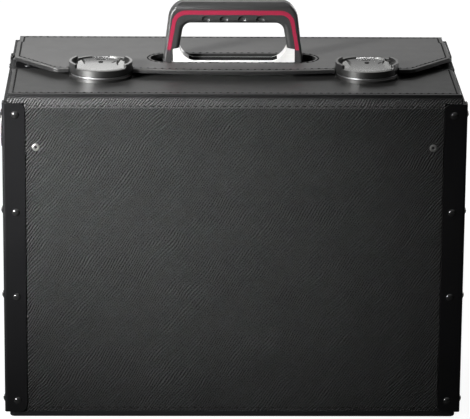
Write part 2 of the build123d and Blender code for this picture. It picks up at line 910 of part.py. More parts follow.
# Bolts up through the backing plate and the bridge into the handle's base
with BuildPart() as handle_bolts:
    with BuildSketch(Plane.XY.offset(backing_level)):
        with Locations(*handle_bolt_places(0)):
            RegularPolygon(handle_bolt_flats / 2, 6, major_radius=False)
    extrude(amount=-handle_bolt_head)
    with BuildSketch(Plane.XY.offset(backing_level)):
        with Locations(*handle_bolt_places(0)):
            Circle(handle_bolt_shank)
    extrude(amount=bore_depth)
handle_bolts.part.label = "handle_bolts"
export_step(handle_bolts.part, "parts/handle_bolts.step")

# Middle wall under the bridge, in a channel at each end
with BuildPart() as middle_wall:
    with BuildSketch(Plane.XY.offset(floor_top)):
        with Locations((0, handle_y)):
            Rectangle(2 * (wall_inner_x - bracket_gauge - middle_wall_end_gap), middle_wall_gauge)
    extrude(amount=middle_wall_top - floor_top)
middle_wall.part.label = "middle_wall"
export_step(middle_wall.part, "parts/middle_wall.step")


def build_channel(side, name):
    """Upright channel that holds one end of the middle wall."""
    slot = middle_wall_gauge + 2 * channel_clearance
    with BuildPart() as channel:
        with BuildSketch(Plane.XY.offset(floor_top)):
            with Locations((side * (wall_inner_x - channel_reach / 2), handle_y)):
                Rectangle(channel_reach, slot + 2 * channel_gauge)
            with Locations((side * (wall_inner_x - channel_gauge - channel_reach / 2), handle_y)):
                Rectangle(channel_reach, slot, mode=Mode.SUBTRACT)
        extrude(amount=channel_top - floor_top)
    channel.part.label = f"{name}_wall_channel"
    export_step(channel.part, f"parts/{name}_wall_channel.step")


for side, name in side_names:
    build_channel(side, name)


def build_ring_tab(side, name):
    """Riveted plate with a knuckle that the carrying ring turns in."""
    with BuildPart() as tab:
        with BuildSketch(Plane.YZ.offset(side * panel_face_x)):
            with Locations((0, ring_height + (tab_rise - tab_drop) / 2)):
                Rectangle(tab_width, tab_rise + tab_drop)
            fillet(vertices(), tab_corner)
        extrude(amount=side * tab_gauge)
        knuckle_radius = ring_wire + ring_fit + knuckle_wall
        with BuildSketch(Plane.XZ):
            with Locations((side * ring_centre_x, ring_height)):
                Circle(knuckle_radius)
            with Locations((side * (panel_face_x + ring_centre_x) / 2, ring_height)):
                Rectangle(ring_centre_x - panel_face_x, 2 * knuckle_radius)
            with Locations((side * ring_centre_x, ring_height)):
                Circle(ring_wire + ring_fit, mode=Mode.SUBTRACT)
        extrude(amount=knuckle_length / 2, both=True)
        round_hole(tab_rivet_places(side), small_rivet_hole, tab_gauge)
    tab.part.label = f"{name}_ring_tab"
    export_step(tab.part, f"parts/{name}_ring_tab.step")


def build_ring_rivets(side, name):
    """The four rivets of one ring tab."""
    grip = tab_gauge + side_panel_gauge + wall_gauge
    shape = make_rivet(
        small_rivet_head,
        small_rivet_dome,
        small_rivet_shank,
        grip,
        small_rivet_head,
        small_rivet_dome,
    )
    with BuildPart() as rivets:
        with Locations(*tab_rivet_places(side)):
            add(shape)
    rivets.part.label = f"{name}_ring_rivets"
    export_step(rivets.part, f"parts/{name}_ring_rivets.step")


def build_ring(side, name):
    """D-shaped carrying ring of bent wire, hanging from its knuckle."""
    foot = ring_height - ring_arm
    with BuildPart() as ring:
        with BuildLine(Plane.YZ.offset(side * ring_centre_x)) as path:
            FilletPolyline(
                (0, ring_height),
                (ring_half_width, ring_height),
                (ring_half_width, foot),
                radius=ring_corner,
            )
            ThreePointArc(
                (ring_half_width, foot), (0, foot - ring_half_width), (-ring_half_width, foot)
            )
            FilletPolyline(
                (-ring_half_width, foot),
                (-ring_half_width, ring_height),
                (0, ring_height),
                radius=ring_corner,
            )
        section = Plane(origin=(side * ring_centre_x, 0, ring_height), x_dir=(1, 0, 0), z_dir=(0, 1, 0))
        with BuildSketch(section):
            Circle(ring_wire)
        sweep(path=path.line)
    ring.part.label = f"{name}_ring"
    export_step(ring.part, f"parts/{name}_ring.step")


for side, name in side_names:
    build_ring_tab(side, name)
    build_ring_rivets(side, name)
    build_ring(side, name)


def lock_places(z):
    """Places of the two lock axes at one level."""
    return [Location((side * lock_x, lock_y, z)) for side in (-1, 1)]


def around_lock(orbit, angles):
    """Points on a circle about a lock axis."""
    return [(orbit * cos(radians(a)), orbit * sin(radians(a))) for a in angles]


# Front flap board
with BuildPart() as front_flap:
    with BuildSketch(Plane.XY.offset(flap_level)):
        with Locations((0, (flap_rear_y - wall_face_y) / 2)):
            Rectangle(flap_width, flap_rear_y + wall_face_y)
        fillet(vertices().group_by(Axis.Y)[-1], flap_corner)
    extrude(amount=flap_gauge)
    fillet(faces().sort_by(Axis.Z)[-1].edges().sort_by(Axis.Y)[1:], flap_edge)
    round_hole(lock_places(flap_top), flap_hole_radius, flap_gauge)
    screw_points = around_lock(base_screw_orbit, base_screw_angles)
    screw_places = [
        Location((side * lock_x + x, lock_y + y, flap_top)) for side in (-1, 1) for x, y in screw_points
    ]
    round_hole(screw_places, base_screw_shank + base_screw_fit, base_screw_depth)
front_flap.part.label = "front_flap"
export_step(front_flap.part, "parts/front_flap.step")

# Lock base: a raised rim round a floor with the key slot for the cross bolt
with BuildPart() as base_shape:
    Cylinder(base_radius, base_height, align=(Align.CENTER, Align.CENTER, Align.MIN))
    chamfer(edges().filter_by(GeomType.CIRCLE).sort_by(Axis.Z)[-1], base_edge)
    with BuildSketch(Plane.XY.offset(base_floor)):
        Circle(base_radius - base_rim)
    extrude(amount=base_height, mode=Mode.SUBTRACT)
    with BuildSketch():
        Rectangle(key_slot_length, key_slot_width)
        fillet(vertices(), key_slot_corner)
    extrude(amount=base_floor, mode=Mode.SUBTRACT)
    with Locations(*[(x, y, base_floor) for x, y in screw_points]):
        screw_hole = base_screw_shank + base_screw_fit
        CounterSinkHole(screw_hole, base_screw_head + base_screw_fit, base_floor, countersink_angle)

# Countersunk screws of both lock bases
base_screw = make_flush_rivet(
    base_screw_head, base_screw_shank, base_floor + base_screw_depth - seat_gap
)
with BuildPart() as lock_base_screws:
    with Locations(*[Location((0, 0, base_floor)) * place for place in screw_places]):
        add(base_screw)
lock_base_screws.part.label = "lock_base_screws"
export_step(lock_base_screws.part, "parts/lock_base_screws.step")

# Lid board, with the handle slot and a bay round each lock
with BuildPart() as lid:
    with BuildSketch(Plane.XY.offset(lid_level)):
        with BuildLine():
            ThreePointArc((-lid_front_x, lid_front_y), (0, lid_nose_y), (lid_front_x, lid_front_y))
            for side in (-1, 1):
                Polyline(
                    (side * lid_front_x, lid_front_y),
                    (side * lid_bevel_x, lid_bevel_y),
                    (side * lid_width / 2, lid_side_end_y),
                    (side * lid_width / 2, lid_notch_y - lid_notch_run),
                    (side * lid_hinge_width / 2, lid_notch_y),
                    (side * lid_hinge_width / 2, wall_face_y),
                )
            Line((-lid_hinge_width / 2, wall_face_y), (lid_hinge_width / 2, wall_face_y))
        make_face()
        bevel_corners = vertices().filter_by(lambda v: abs(v.Y - lid_bevel_y) < pick_tolerance)
        fillet(bevel_corners, lid_bevel_corner)
        side_corners = vertices().filter_by(lambda v: abs(v.Y - lid_side_end_y) < pick_tolerance)
        fillet(side_corners, lid_side_corner)
    extrude(amount=lid_gauge)
    fillet(faces().sort_by(Axis.Z)[-1].edges().sort_by(Axis.Y)[:-1], lid_edge)
    extrude(slot_sketch(0).moved(Location((0, 0, lid_level))), amount=lid_gauge, mode=Mode.SUBTRACT)
    round_hole(lock_places(lid_top), knob_radius + knob_gap, lid_gauge)
    rivet_places = [
        Location((side * lock_x + x, carrier_rivet_y, lid_level), (180, 0, 0))
        for side in (-1, 1)
        for x in (-carrier_rivet_x, carrier_rivet_x)
    ]
    round_hole(rivet_places, small_rivet_hole, carrier_rivet_depth)
lid.part.label = "lid"
export_step(lid.part, "parts/lid.step")

# Binding ring under the lid, round the handle slot
with BuildPart() as slot_binding:
    with BuildSketch(Plane.XY.offset(lid_level)):
        add(slot_sketch(binding_width))
        add(slot_sketch(0), mode=Mode.SUBTRACT)
    extrude(amount=-binding_gauge)
slot_binding.part.label = "slot_binding"
export_step(slot_binding.part, "parts/slot_binding.step")


def sector(radius, start, end):
    """Pie-shaped sketch about the origin between two angles."""
    with BuildSketch(mode=Mode.PRIVATE) as pie:
        with BuildLine():
            rim = CenterArc((0, 0), radius, start, end - start)
            Line((0, 0), rim @ 0)
            Line(rim @ 1, (0, 0))
        make_face()
    return pie.sketch


# Steel carrier under the lid, bored for the knob's hub and slotted for its stop lug
with BuildPart() as carrier_shape:
    with BuildSketch():
        Circle(carrier_radius)
        with BuildSketch(mode=Mode.PRIVATE) as tail:
            with Locations((0, (carrier_tail_end_y - lock_y) / 2)):
                Rectangle(carrier_tail_width, carrier_tail_end_y - lock_y)
            fillet(vertices().group_by(Axis.Y)[-1], carrier_tail_corner)
        add(tail.sketch)
        Circle(hub_radius + hub_fit, mode=Mode.SUBTRACT)
        with Locations(*[(x, carrier_rivet_y - lock_y) for x in (-carrier_rivet_x, carrier_rivet_x)]):
            Circle(small_rivet_hole, mode=Mode.SUBTRACT)
        slack = degrees((lug_radius + lug_clearance) / lug_orbit)
        with BuildSketch(mode=Mode.PRIVATE) as lug_slot:
            Circle(lug_orbit + lug_radius + lug_clearance)
            Circle(lug_orbit - lug_radius - lug_clearance, mode=Mode.SUBTRACT)
            add(sector(2 * carrier_radius, -turn_angle - slack, slack), mode=Mode.INTERSECT)
        add(lug_slot.sketch, mode=Mode.SUBTRACT)
    extrude(amount=carrier_gauge)

# Rivets of both carriers, blind in the lid board
carrier_rivet = make_rivet(
    small_rivet_head,
    small_rivet_dome,
    small_rivet_shank,
    carrier_gauge + carrier_rivet_depth - seat_gap,
)
with BuildPart() as carrier_rivets:
    with Locations(*[place * Location((0, 0, carrier_gauge)) for place in rivet_places]):
        add(carrier_rivet)
carrier_rivets.part.label = "carrier_rivets"
export_step(carrier_rivets.part, "parts/carrier_rivets.step")

# Space of the two finger scoops, with a tilted floor and an hourglass left between them
inner_wall = knob_radius - ear_wall
with BuildPart() as scoop_cutter:
    with BuildSketch(Plane.XY.offset(knob_roof_z)):
        Circle(inner_wall)
        with BuildSketch(mode=Mode.PRIVATE) as waist:
            Rectangle(2 * (knob_waist + waist_curve), 2 * knob_radius)
            with Locations((-knob_waist - waist_curve, 0), (knob_waist + waist_curve, 0)):
                Circle(waist_curve, mode=Mode.SUBTRACT)
        add(waist.sketch, mode=Mode.SUBTRACT)
    extrude(amount=2 * (ear_top_z - knob_roof_z))
    tilt = radians(scoop_angle)
    split(bisect_by=Plane(origin=(0, 0, scoop_mid_z), z_dir=(0, -sin(tilt), cos(tilt))), keep=Keep.TOP)

# Knob: skirted disc with an hourglass crown between two tilted scoops and two raised ears
with BuildPart() as knob_shape:
    with BuildSketch(Plane.XZ):
        with BuildLine():
            dome = ThreePointArc(
                (0, knob_crown_z),
                (knob_radius / 2, knob_crown_mid_z),
                (knob_radius - knob_rim_edge, knob_rim_z),
            )
            Polyline(
                dome @ 1,
                (knob_radius, knob_rim_z - knob_rim_edge),
                (knob_radius, knob_bottom + knob_rim_edge),
                (knob_radius - knob_rim_edge, knob_bottom),
                (knob_radius - knob_skirt, knob_bottom),
                (knob_radius - knob_skirt, knob_roof_z),
                (hub_radius, knob_roof_z),
                (hub_radius, collar_top),
                (0, collar_top),
                (0, knob_crown_z),
            )
        make_face()
    revolve(axis=Axis.Z)
    with BuildSketch(Plane.XY.offset(knob_rim_z - 2 * knob_rim_edge)):
        Circle(knob_radius)
        Circle(inner_wall, mode=Mode.SUBTRACT)
        right_ear = sector(2 * knob_radius, -ear_half_angle, ear_half_angle)
        left_ear = sector(2 * knob_radius, 180 - ear_half_angle, 180 + ear_half_angle)
        add(right_ear + left_ear, mode=Mode.INTERSECT)
    extrude(amount=ear_top_z - knob_rim_z + 2 * knob_rim_edge)
    with BuildSketch(Plane.XY.offset(knob_rim_z - 2 * knob_rim_edge)):
        Circle(knob_radius)
        Circle(inner_wall, mode=Mode.SUBTRACT)
        right_lip = sector(2 * knob_radius, 0, lip_angle)
        left_lip = sector(2 * knob_radius, 180 - lip_angle, 180)
        add(right_lip + left_lip, mode=Mode.INTERSECT)
    extrude(amount=lip_top_z - knob_rim_z + 2 * knob_rim_edge)
    add(scoop_cutter.part, mode=Mode.SUBTRACT)
    with BuildSketch(Plane.XY.offset(knob_rim_z - mark_depth)):
        Circle(rim_groove_radius)
        Circle(rim_groove_radius - rim_groove_width, mode=Mode.SUBTRACT)
        add(sector(2 * knob_radius, rim_groove_angle - 180, -rim_groove_angle), mode=Mode.INTERSECT)
    extrude(amount=2 * mark_depth, mode=Mode.SUBTRACT)
    with BuildSketch(Plane.XY.offset(knob_rim_z)):
        Circle(mark_radius + mark_width / 2)
        Circle(mark_radius - mark_width / 2, mode=Mode.SUBTRACT)
        add(sector(2 * knob_radius, 90 - mark_half_angle, 90 + mark_half_angle), mode=Mode.INTERSECT)
    extrude(amount=4 * mark_depth, mode=Mode.SUBTRACT)
    with BuildSketch(Plane.XY.offset(knob_crown_z - 2 * mark_depth)):
        with Locations((pointer_x, pointer_y)):
            SlotOverall(pointer_length, mark_width, rotation=pointer_angle)
    extrude(amount=4 * mark_depth, mode=Mode.SUBTRACT)
    with Locations((0, 0, ear_top_z)):
        Cylinder(
            knob_screw_shank + knob_screw_fit,
            ear_top_z - collar_top,
            align=(Align.CENTER, Align.CENTER, Align.MAX),
            mode=Mode.SUBTRACT,
        )
    with Locations((lug_orbit, 0, knob_roof_z)):
        Cylinder(
            lug_radius,
            knob_roof_z - carrier_level - seat_gap,
            align=(Align.CENTER, Align.CENTER, Align.MAX),
        )

# Cross bolt: a collar that runs under the carrier, and a bar that turns under the key slot
with BuildPart() as cross_bolt_shape:
    with Locations((0, 0, collar_top)):
        Cylinder(collar_radius, collar_gauge, align=(Align.CENTER, Align.CENTER, Align.MAX))
        Cylinder(
            bolt_shaft_radius, collar_top - cross_bottom, align=(Align.CENTER, Align.CENTER, Align.MAX)
        )
    with BuildSketch(Plane.XY.offset(cross_bottom)):
        Rectangle(cross_length, cross_width)
        fillet(vertices(), cross_corner)
    extrude(amount=cross_height)
    chamfer(faces().sort_by(Axis.Z)[0].edges(), cross_chamfer)
    with Locations((0, 0, collar_top)):
        Cylinder(
            knob_screw_shank + knob_screw_fit,
            collar_top - cross_bottom,
            align=(Align.CENTER, Align.CENTER, Align.MAX),
            mode=Mode.SUBTRACT,
        )

# Screw down the middle of the knob into the cross bolt
with BuildPart() as knob_screw_shape:
    with Locations((0, 0, knob_crown_z)):
        Cylinder(
            knob_screw_head, knob_screw_head_height, align=(Align.CENTER, Align.CENTER, Align.MIN)
        )
        Cylinder(
            knob_screw_shank,
            knob_crown_z - cross_bottom - cross_chamfer,
            align=(Align.CENTER, Align.CENTER, Align.MAX),
        )
    chamfer(edges().filter_by(GeomType.CIRCLE).sort_by(Axis.Z)[-1], knob_screw_head_height / 2)


def place_on_lock(shape, side, z, name):
    """Puts a copy of a lock piece on one lock's axis and writes it."""
    with BuildPart() as piece:
        with Locations((side * lock_x, lock_y, z)):
            add(shape.part)
    piece.part.label = name
    export_step(piece.part, f"parts/{name}.step")


for side, name in side_names:
    place_on_lock(base_shape, side, flap_top, f"{name}_lock_base")
    place_on_lock(carrier_shape, side, carrier_level, f"{name}_lock_carrier")
    place_on_lock(knob_shape, side, 0, f"{name}_knob")
    place_on_lock(cross_bolt_shape, side, 0, f"{name}_cross_bolt")
    place_on_lock(knob_screw_shape, side, 0, f"{name}_knob_screw")
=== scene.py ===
"""Dressed scene of a leather tool case with two twist locks and a moulded handle.

Metres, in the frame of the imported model: X to the right, Y to the rear, Z up. Most
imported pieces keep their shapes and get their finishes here. The lid and the flap are
copies in leather with a groove under each row of stitches, the two hinge strips are
soft leather pieces made here, and a ribbed skin covers each outer wall between the
rails. The grip, the handle's base and both knobs are copies with carved details.
"""

import json
import logging
from collections.abc import Callable
from dataclasses import dataclass, field
from enum import Enum
from functools import cache
from math import atan2, cos, hypot, pi, radians, sin

import bmesh
import bpy
from mathutils import Matrix, Vector
from mathutils.bvhtree import BVHTree


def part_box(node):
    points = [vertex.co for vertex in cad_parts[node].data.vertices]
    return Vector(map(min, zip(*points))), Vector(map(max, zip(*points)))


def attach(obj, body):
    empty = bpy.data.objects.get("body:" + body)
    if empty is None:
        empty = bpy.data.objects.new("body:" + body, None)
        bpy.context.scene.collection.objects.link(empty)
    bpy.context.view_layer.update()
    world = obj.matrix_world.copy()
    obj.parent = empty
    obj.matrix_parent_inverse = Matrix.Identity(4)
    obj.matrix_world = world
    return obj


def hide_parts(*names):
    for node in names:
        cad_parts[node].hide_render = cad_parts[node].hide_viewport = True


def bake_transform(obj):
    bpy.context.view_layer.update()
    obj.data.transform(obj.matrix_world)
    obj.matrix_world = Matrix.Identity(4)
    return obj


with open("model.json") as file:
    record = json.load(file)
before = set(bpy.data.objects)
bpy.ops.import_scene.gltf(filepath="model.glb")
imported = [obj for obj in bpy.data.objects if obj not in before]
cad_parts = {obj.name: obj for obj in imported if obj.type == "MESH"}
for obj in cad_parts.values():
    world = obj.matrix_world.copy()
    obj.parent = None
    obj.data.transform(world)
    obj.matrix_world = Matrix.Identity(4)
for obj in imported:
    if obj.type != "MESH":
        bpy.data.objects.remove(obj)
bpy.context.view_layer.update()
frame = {"nodes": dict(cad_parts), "record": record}

LOG = logging.getLogger("tool_case")
MM = 0.001
WELD = 0.002 * MM
SIDES = ((-1, "left"), (1, "right"))
SLOTS = {part["node"]: part["material_slot"] for part in frame["record"]["subparts"]}
PHOTO_WIDTH = 470.0

Colour = tuple[float, float, float]
Path = list[Vector]


class Facing(Enum):
    """The way that a face of the case looks."""

    UP = (0.0, 0.0, 1.0)
    FRONT = (0.0, -1.0, 0.0)
    REAR = (0.0, 1.0, 0.0)
    LEFT = (-1.0, 0.0, 0.0)
    RIGHT = (1.0, 0.0, 0.0)


class Texture(Enum):
    """The small relief of a finish."""

    GRAIN = "grain"
    RIBS = "ribs"
    BRUSHED = "brushed"
    SMOOTH = "smooth"


class Wire:
    """A socket of a material's node tree that takes part in arithmetic."""

    def __init__(self, tree: "ShaderTree", socket: bpy.types.NodeSocket) -> None:
        """Keeps the tree and the socket.

        Args:
            tree: The tree that new Math nodes go into.
            socket: The output that this value comes from.
        """
        self.tree = tree
        self.socket = socket

    def math(self, operation: str, *values: "Wire | float") -> "Wire":
        """Adds one Math node.

        Args:
            operation: The Math node's operation.
            values: Its inputs, in order.

        Returns:
            The node's result.
        """
        return self.tree.node("ShaderNodeMath", {"operation": operation}, dict(enumerate(values)))

    def __add__(self, other: "Wire | float") -> "Wire":
        """Sum of two values."""
        return self.math("ADD", self, other)

    def __radd__(self, other: float) -> "Wire":
        """Sum with a plain number first."""
        return self.math("ADD", other, self)

    def __sub__(self, other: "Wire | float") -> "Wire":
        """Difference of two values."""
        return self.math("SUBTRACT", self, other)

    def __rsub__(self, other: float) -> "Wire":
        """Plain number less this value."""
        return self.math("SUBTRACT", other, self)

    def __mul__(self, other: "Wire | float") -> "Wire":
        """Product of two values."""
        return self.math("MULTIPLY", self, other)

    def __rmul__(self, other: float) -> "Wire":
        """Product with a plain number first."""
        return self.math("MULTIPLY", other, self)

    def __lt__(self, other: "Wire | float") -> "Wire":
        """1 where this value is the smaller, else 0."""
        return self.math("LESS_THAN", self, other)

    def __abs__(self) -> "Wire":
        """This value without its sign."""
        return self.math("ABSOLUTE", self)

    def sine(self) -> "Wire":
        """Sine of this value, from -1 to 1."""
        return self.math("SINE", self)

    def top(self, other: "Wire | float") -> "Wire":
        """The larger of two values."""
        return self.math("MAXIMUM", self, other)

    def clamped(self) -> "Wire":
        """This value kept between 0 and 1."""
        return self.math("MINIMUM", self.math("MAXIMUM", self, 0.0), 1.0)


class ShaderTree:
    """Node tree of one material or of the world, made by calls."""

    def __init__(self, owner: "bpy.types.Material | bpy.types.World") -> None:
        """Empties the owner's tree.

        Args:
            owner: The material or world that the tree belongs to.
        """
        owner.use_nodes = True
        self.tree = owner.node_tree
        self.tree.nodes.clear()

    def node(
        self,
        kind: str,
        settings: dict | None = None,
        values: dict | None = None,
        output: "int | str" = 0,
    ) -> Wire:
        """Adds a node, sets it and fills its sockets.

        Args:
            kind: The node's type.
            settings: Properties by name; "stops" holds a ramp's places and colours.
            values: A number, colour or wire for each named or numbered socket.
            output: The output to hand on.

        Returns:
            That output.
        """
        made = self.tree.nodes.new(kind)
        for name, value in (settings or {}).items():
            if name == "stops":
                self._set_stops(made.color_ramp, value)
            else:
                setattr(made, name, value)
        for name, value in (values or {}).items():
            if isinstance(value, Wire):
                self.tree.links.new(value.socket, made.inputs[name])
            else:
                made.inputs[name].default_value = value
        has_output = len(made.outputs) > 0
        return Wire(self, made.outputs[output]) if has_output else Wire(self, made.inputs[0])

    @staticmethod
    def _set_stops(ramp: bpy.types.ColorRamp, stops: list[tuple[float, Colour]]) -> None:
        """Gives a colour ramp its stops.

        Args:
            ramp: The ramp, which starts with two stops.
            stops: Places from 0 to 1 and colours.
        """
        while len(ramp.elements) < len(stops):
            ramp.elements.new(0.5)
        for element, (place, colour) in zip(ramp.elements, stops):
            element.position = place
            element.color = (*colour, 1.0)

    def coordinates(self) -> Wire:
        """The piece's own coordinates, in metres."""
        return self.node("ShaderNodeTexCoord", output="Object")

    def split(self, vector: Wire) -> tuple[Wire, Wire, Wire]:
        """The three parts of a vector.

        Args:
            vector: The vector.

        Returns:
            Its X, Y and Z.
        """
        parts = self.node("ShaderNodeSeparateXYZ", values={"Vector": vector}).socket.node
        return tuple(Wire(self, parts.outputs[axis]) for axis in "XYZ")

    def noise(self, vector: Wire, size: float, detail: float = 2.0, roughness: float = 0.5) -> Wire:
        """Soft noise from 0 to 1.

        Args:
            vector: Where the noise is read.
            size: Size of its patches, in metres.
            detail: Number of finer layers.
            roughness: Strength of the finer layers.

        Returns:
            The noise.
        """
        values = {"Vector": vector, "Scale": 1 / size, "Detail": detail, "Roughness": roughness}
        return self.node("ShaderNodeTexNoise", {}, values, "Fac")

    def mix(self, factor: "Wire | float", first: "Wire | Colour", second: "Wire | Colour") -> Wire:
        """Mix of two colours.

        Args:
            factor: 0 for the first colour, 1 for the second.
            first: One colour.
            second: The other colour.

        Returns:
            The mixed colour.
        """
        pair = [c if isinstance(c, Wire) else (*c, 1.0) for c in (first, second)]
        values = {0: factor, 6: pair[0], 7: pair[1]}
        return self.node("ShaderNodeMix", {"data_type": "RGBA"}, values, 2)


@dataclass(frozen=True)
class Finish:
    """How one kind of surface looks."""

    name: str
    dark: Colour
    light: Colour
    roughness: tuple[float, float]
    texture: Texture = Texture.GRAIN
    cell: float = 0.9 * MM
    depth: float = 0.06 * MM
    metallic: float = 0.0
    specular: float = 0.5
    patch: float = 60 * MM
    rib_pitch: float = 2.4 * MM
    rib_angle: float = 52.0
    rib_bend: tuple[float, float] = (55 * MM, 15 * MM)
    rib_ripple: tuple[float, float] = (8 * MM, 1.5 * MM)
    rib_patch: float = 11 * MM
    bead: float = 1.5 * MM
    fade_above: float = 1.0
    fade: float = 5 * MM
    lining: Colour | None = None

    def material(self) -> bpy.types.Material:
        """Builds the material once and hands it out after that.

        Returns:
            The material.
        """
        known = bpy.data.materials.get(self.name)
        if known and known.get("built_here"):
            return known
        made = bpy.data.materials.new(self.name)
        made["built_here"] = True
        tree = ShaderTree(made)
        place = tree.coordinates()
        relief, relief_tone_and_shade = self._relief(tree, place)
        cloud = tree.noise(place, self.patch, 4.0, 0.6)
        # The tone follows the relief: painted shade, darker in its hollows and lighter on its
        # crests; on the ribs it makes nearly all of the tone.
        share = 0.95 if self.texture is Texture.RIBS else 0.5
        tone = (cloud * (1.2 - share) + relief_tone_and_shade * share - 0.1).clamped()
        colour = tree.mix(tone, self.dark, self.light)
        if self.lining:
            colour = tree.mix(self._inner(tree, place), colour, self.lining)
        low, high = self.roughness
        values = {
            "Base Color": colour,
            "Roughness": (low + (high - low) * tree.noise(place, self.patch / 3, 3.0)).clamped(),
            "Metallic": self.metallic,
            "Specular IOR Level": self.specular,
            "Normal": tree.node(
                "ShaderNodeBump", {}, {"Strength": 1.0, "Distance": self.depth, "Height": relief}
            ),
        }
        surface = tree.node("ShaderNodeBsdfPrincipled", {}, values)
        tree.node("ShaderNodeOutputMaterial", {}, {"Surface": surface})
        return made

    def _relief(self, tree: ShaderTree, place: Wire) -> tuple[Wire, Wire]:
        """Height of the small relief and a tone that follows it, darker in its hollows: painted
        shade.

        Args:
            tree: The material's tree.
            place: The piece's own coordinates.

        Returns:
            Height and tone, each about 0 to 1.
        """
        if self.texture is Texture.RIBS:
            return self._ribs(tree, place)
        if self.texture is Texture.BRUSHED:
            return self._brushed(tree, place)
        fine = tree.noise(place, self.cell * 0.6, 3.0, 0.6)
        if self.texture is Texture.SMOOTH:
            return fine, fine
        values = {"Vector": place, "Scale": 1 / self.cell}
        cells = tree.node("ShaderNodeTexVoronoi", {"feature": "SMOOTH_F1"}, values, "Distance")
        grain = (1.0 - cells) * 0.7 + fine * 0.5
        return grain, grain

    def _ribs(self, tree: ShaderTree, place: Wire) -> tuple[Wire, Wire]:
        """Wavy slanting ribs of embossed leathercloth.

        Args:
            tree: The material's tree.
            place: The piece's own coordinates.

        Returns:
            Height, and a tone from the height that paints the troughs darker and the crests lighter
            as shade.
        """
        x, y, z = tree.split(place)
        across = (x + y) * sin(radians(self.rib_angle)) - z * cos(radians(self.rib_angle))
        bend = tree.noise(place, self.rib_bend[0], 2.0, 0.45) * self.rib_bend[1]
        ripple = tree.noise(place, self.rib_ripple[0], 2.0, 0.5) * self.rib_ripple[1]
        ribs = ((across + bend + ripple) * (2 * pi / self.rib_pitch)).sine() * 0.5 + 0.5
        strength = tree.noise(place, self.rib_patch, 2.0, 0.5)
        values = {"Vector": place, "Scale": 1 / self.bead}
        beads = tree.node("ShaderNodeTexVoronoi", {"feature": "F1"}, values, "Distance")
        height = ribs * (0.25 + 1.0 * strength) + (1.0 - beads) * 0.45
        height = height * ((self.fade_above - z) * (1 / self.fade)).clamped()
        return height, height * 0.75

    def _brushed(self, tree: ShaderTree, place: Wire) -> tuple[Wire, Wire]:
        """Faint scratches that run along X.

        Args:
            tree: The material's tree.
            place: The piece's own coordinates.

        Returns:
            Height and tone.
        """
        stretched = tree.node(
            "ShaderNodeMapping", {}, {"Vector": place, "Scale": (0.05, 1.0, 1.0)}
        )
        lines = tree.noise(stretched, self.cell, 3.0, 0.7)
        return lines, lines

    def _inner(self, tree: ShaderTree, place: Wire) -> Wire:
        """1 on faces inside the walls, 0 outside.

        Args:
            tree: The material's tree.
            place: The piece's own coordinates.

        Returns:
            The mask.
        """
        inner_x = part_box("floor_board")[1].x + 0.1 * MM
        inner_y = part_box("floor_board")[1].y + 0.1 * MM
        x, y, _ = tree.split(place)
        return (abs(x) < inner_x) * (abs(y) < inner_y)


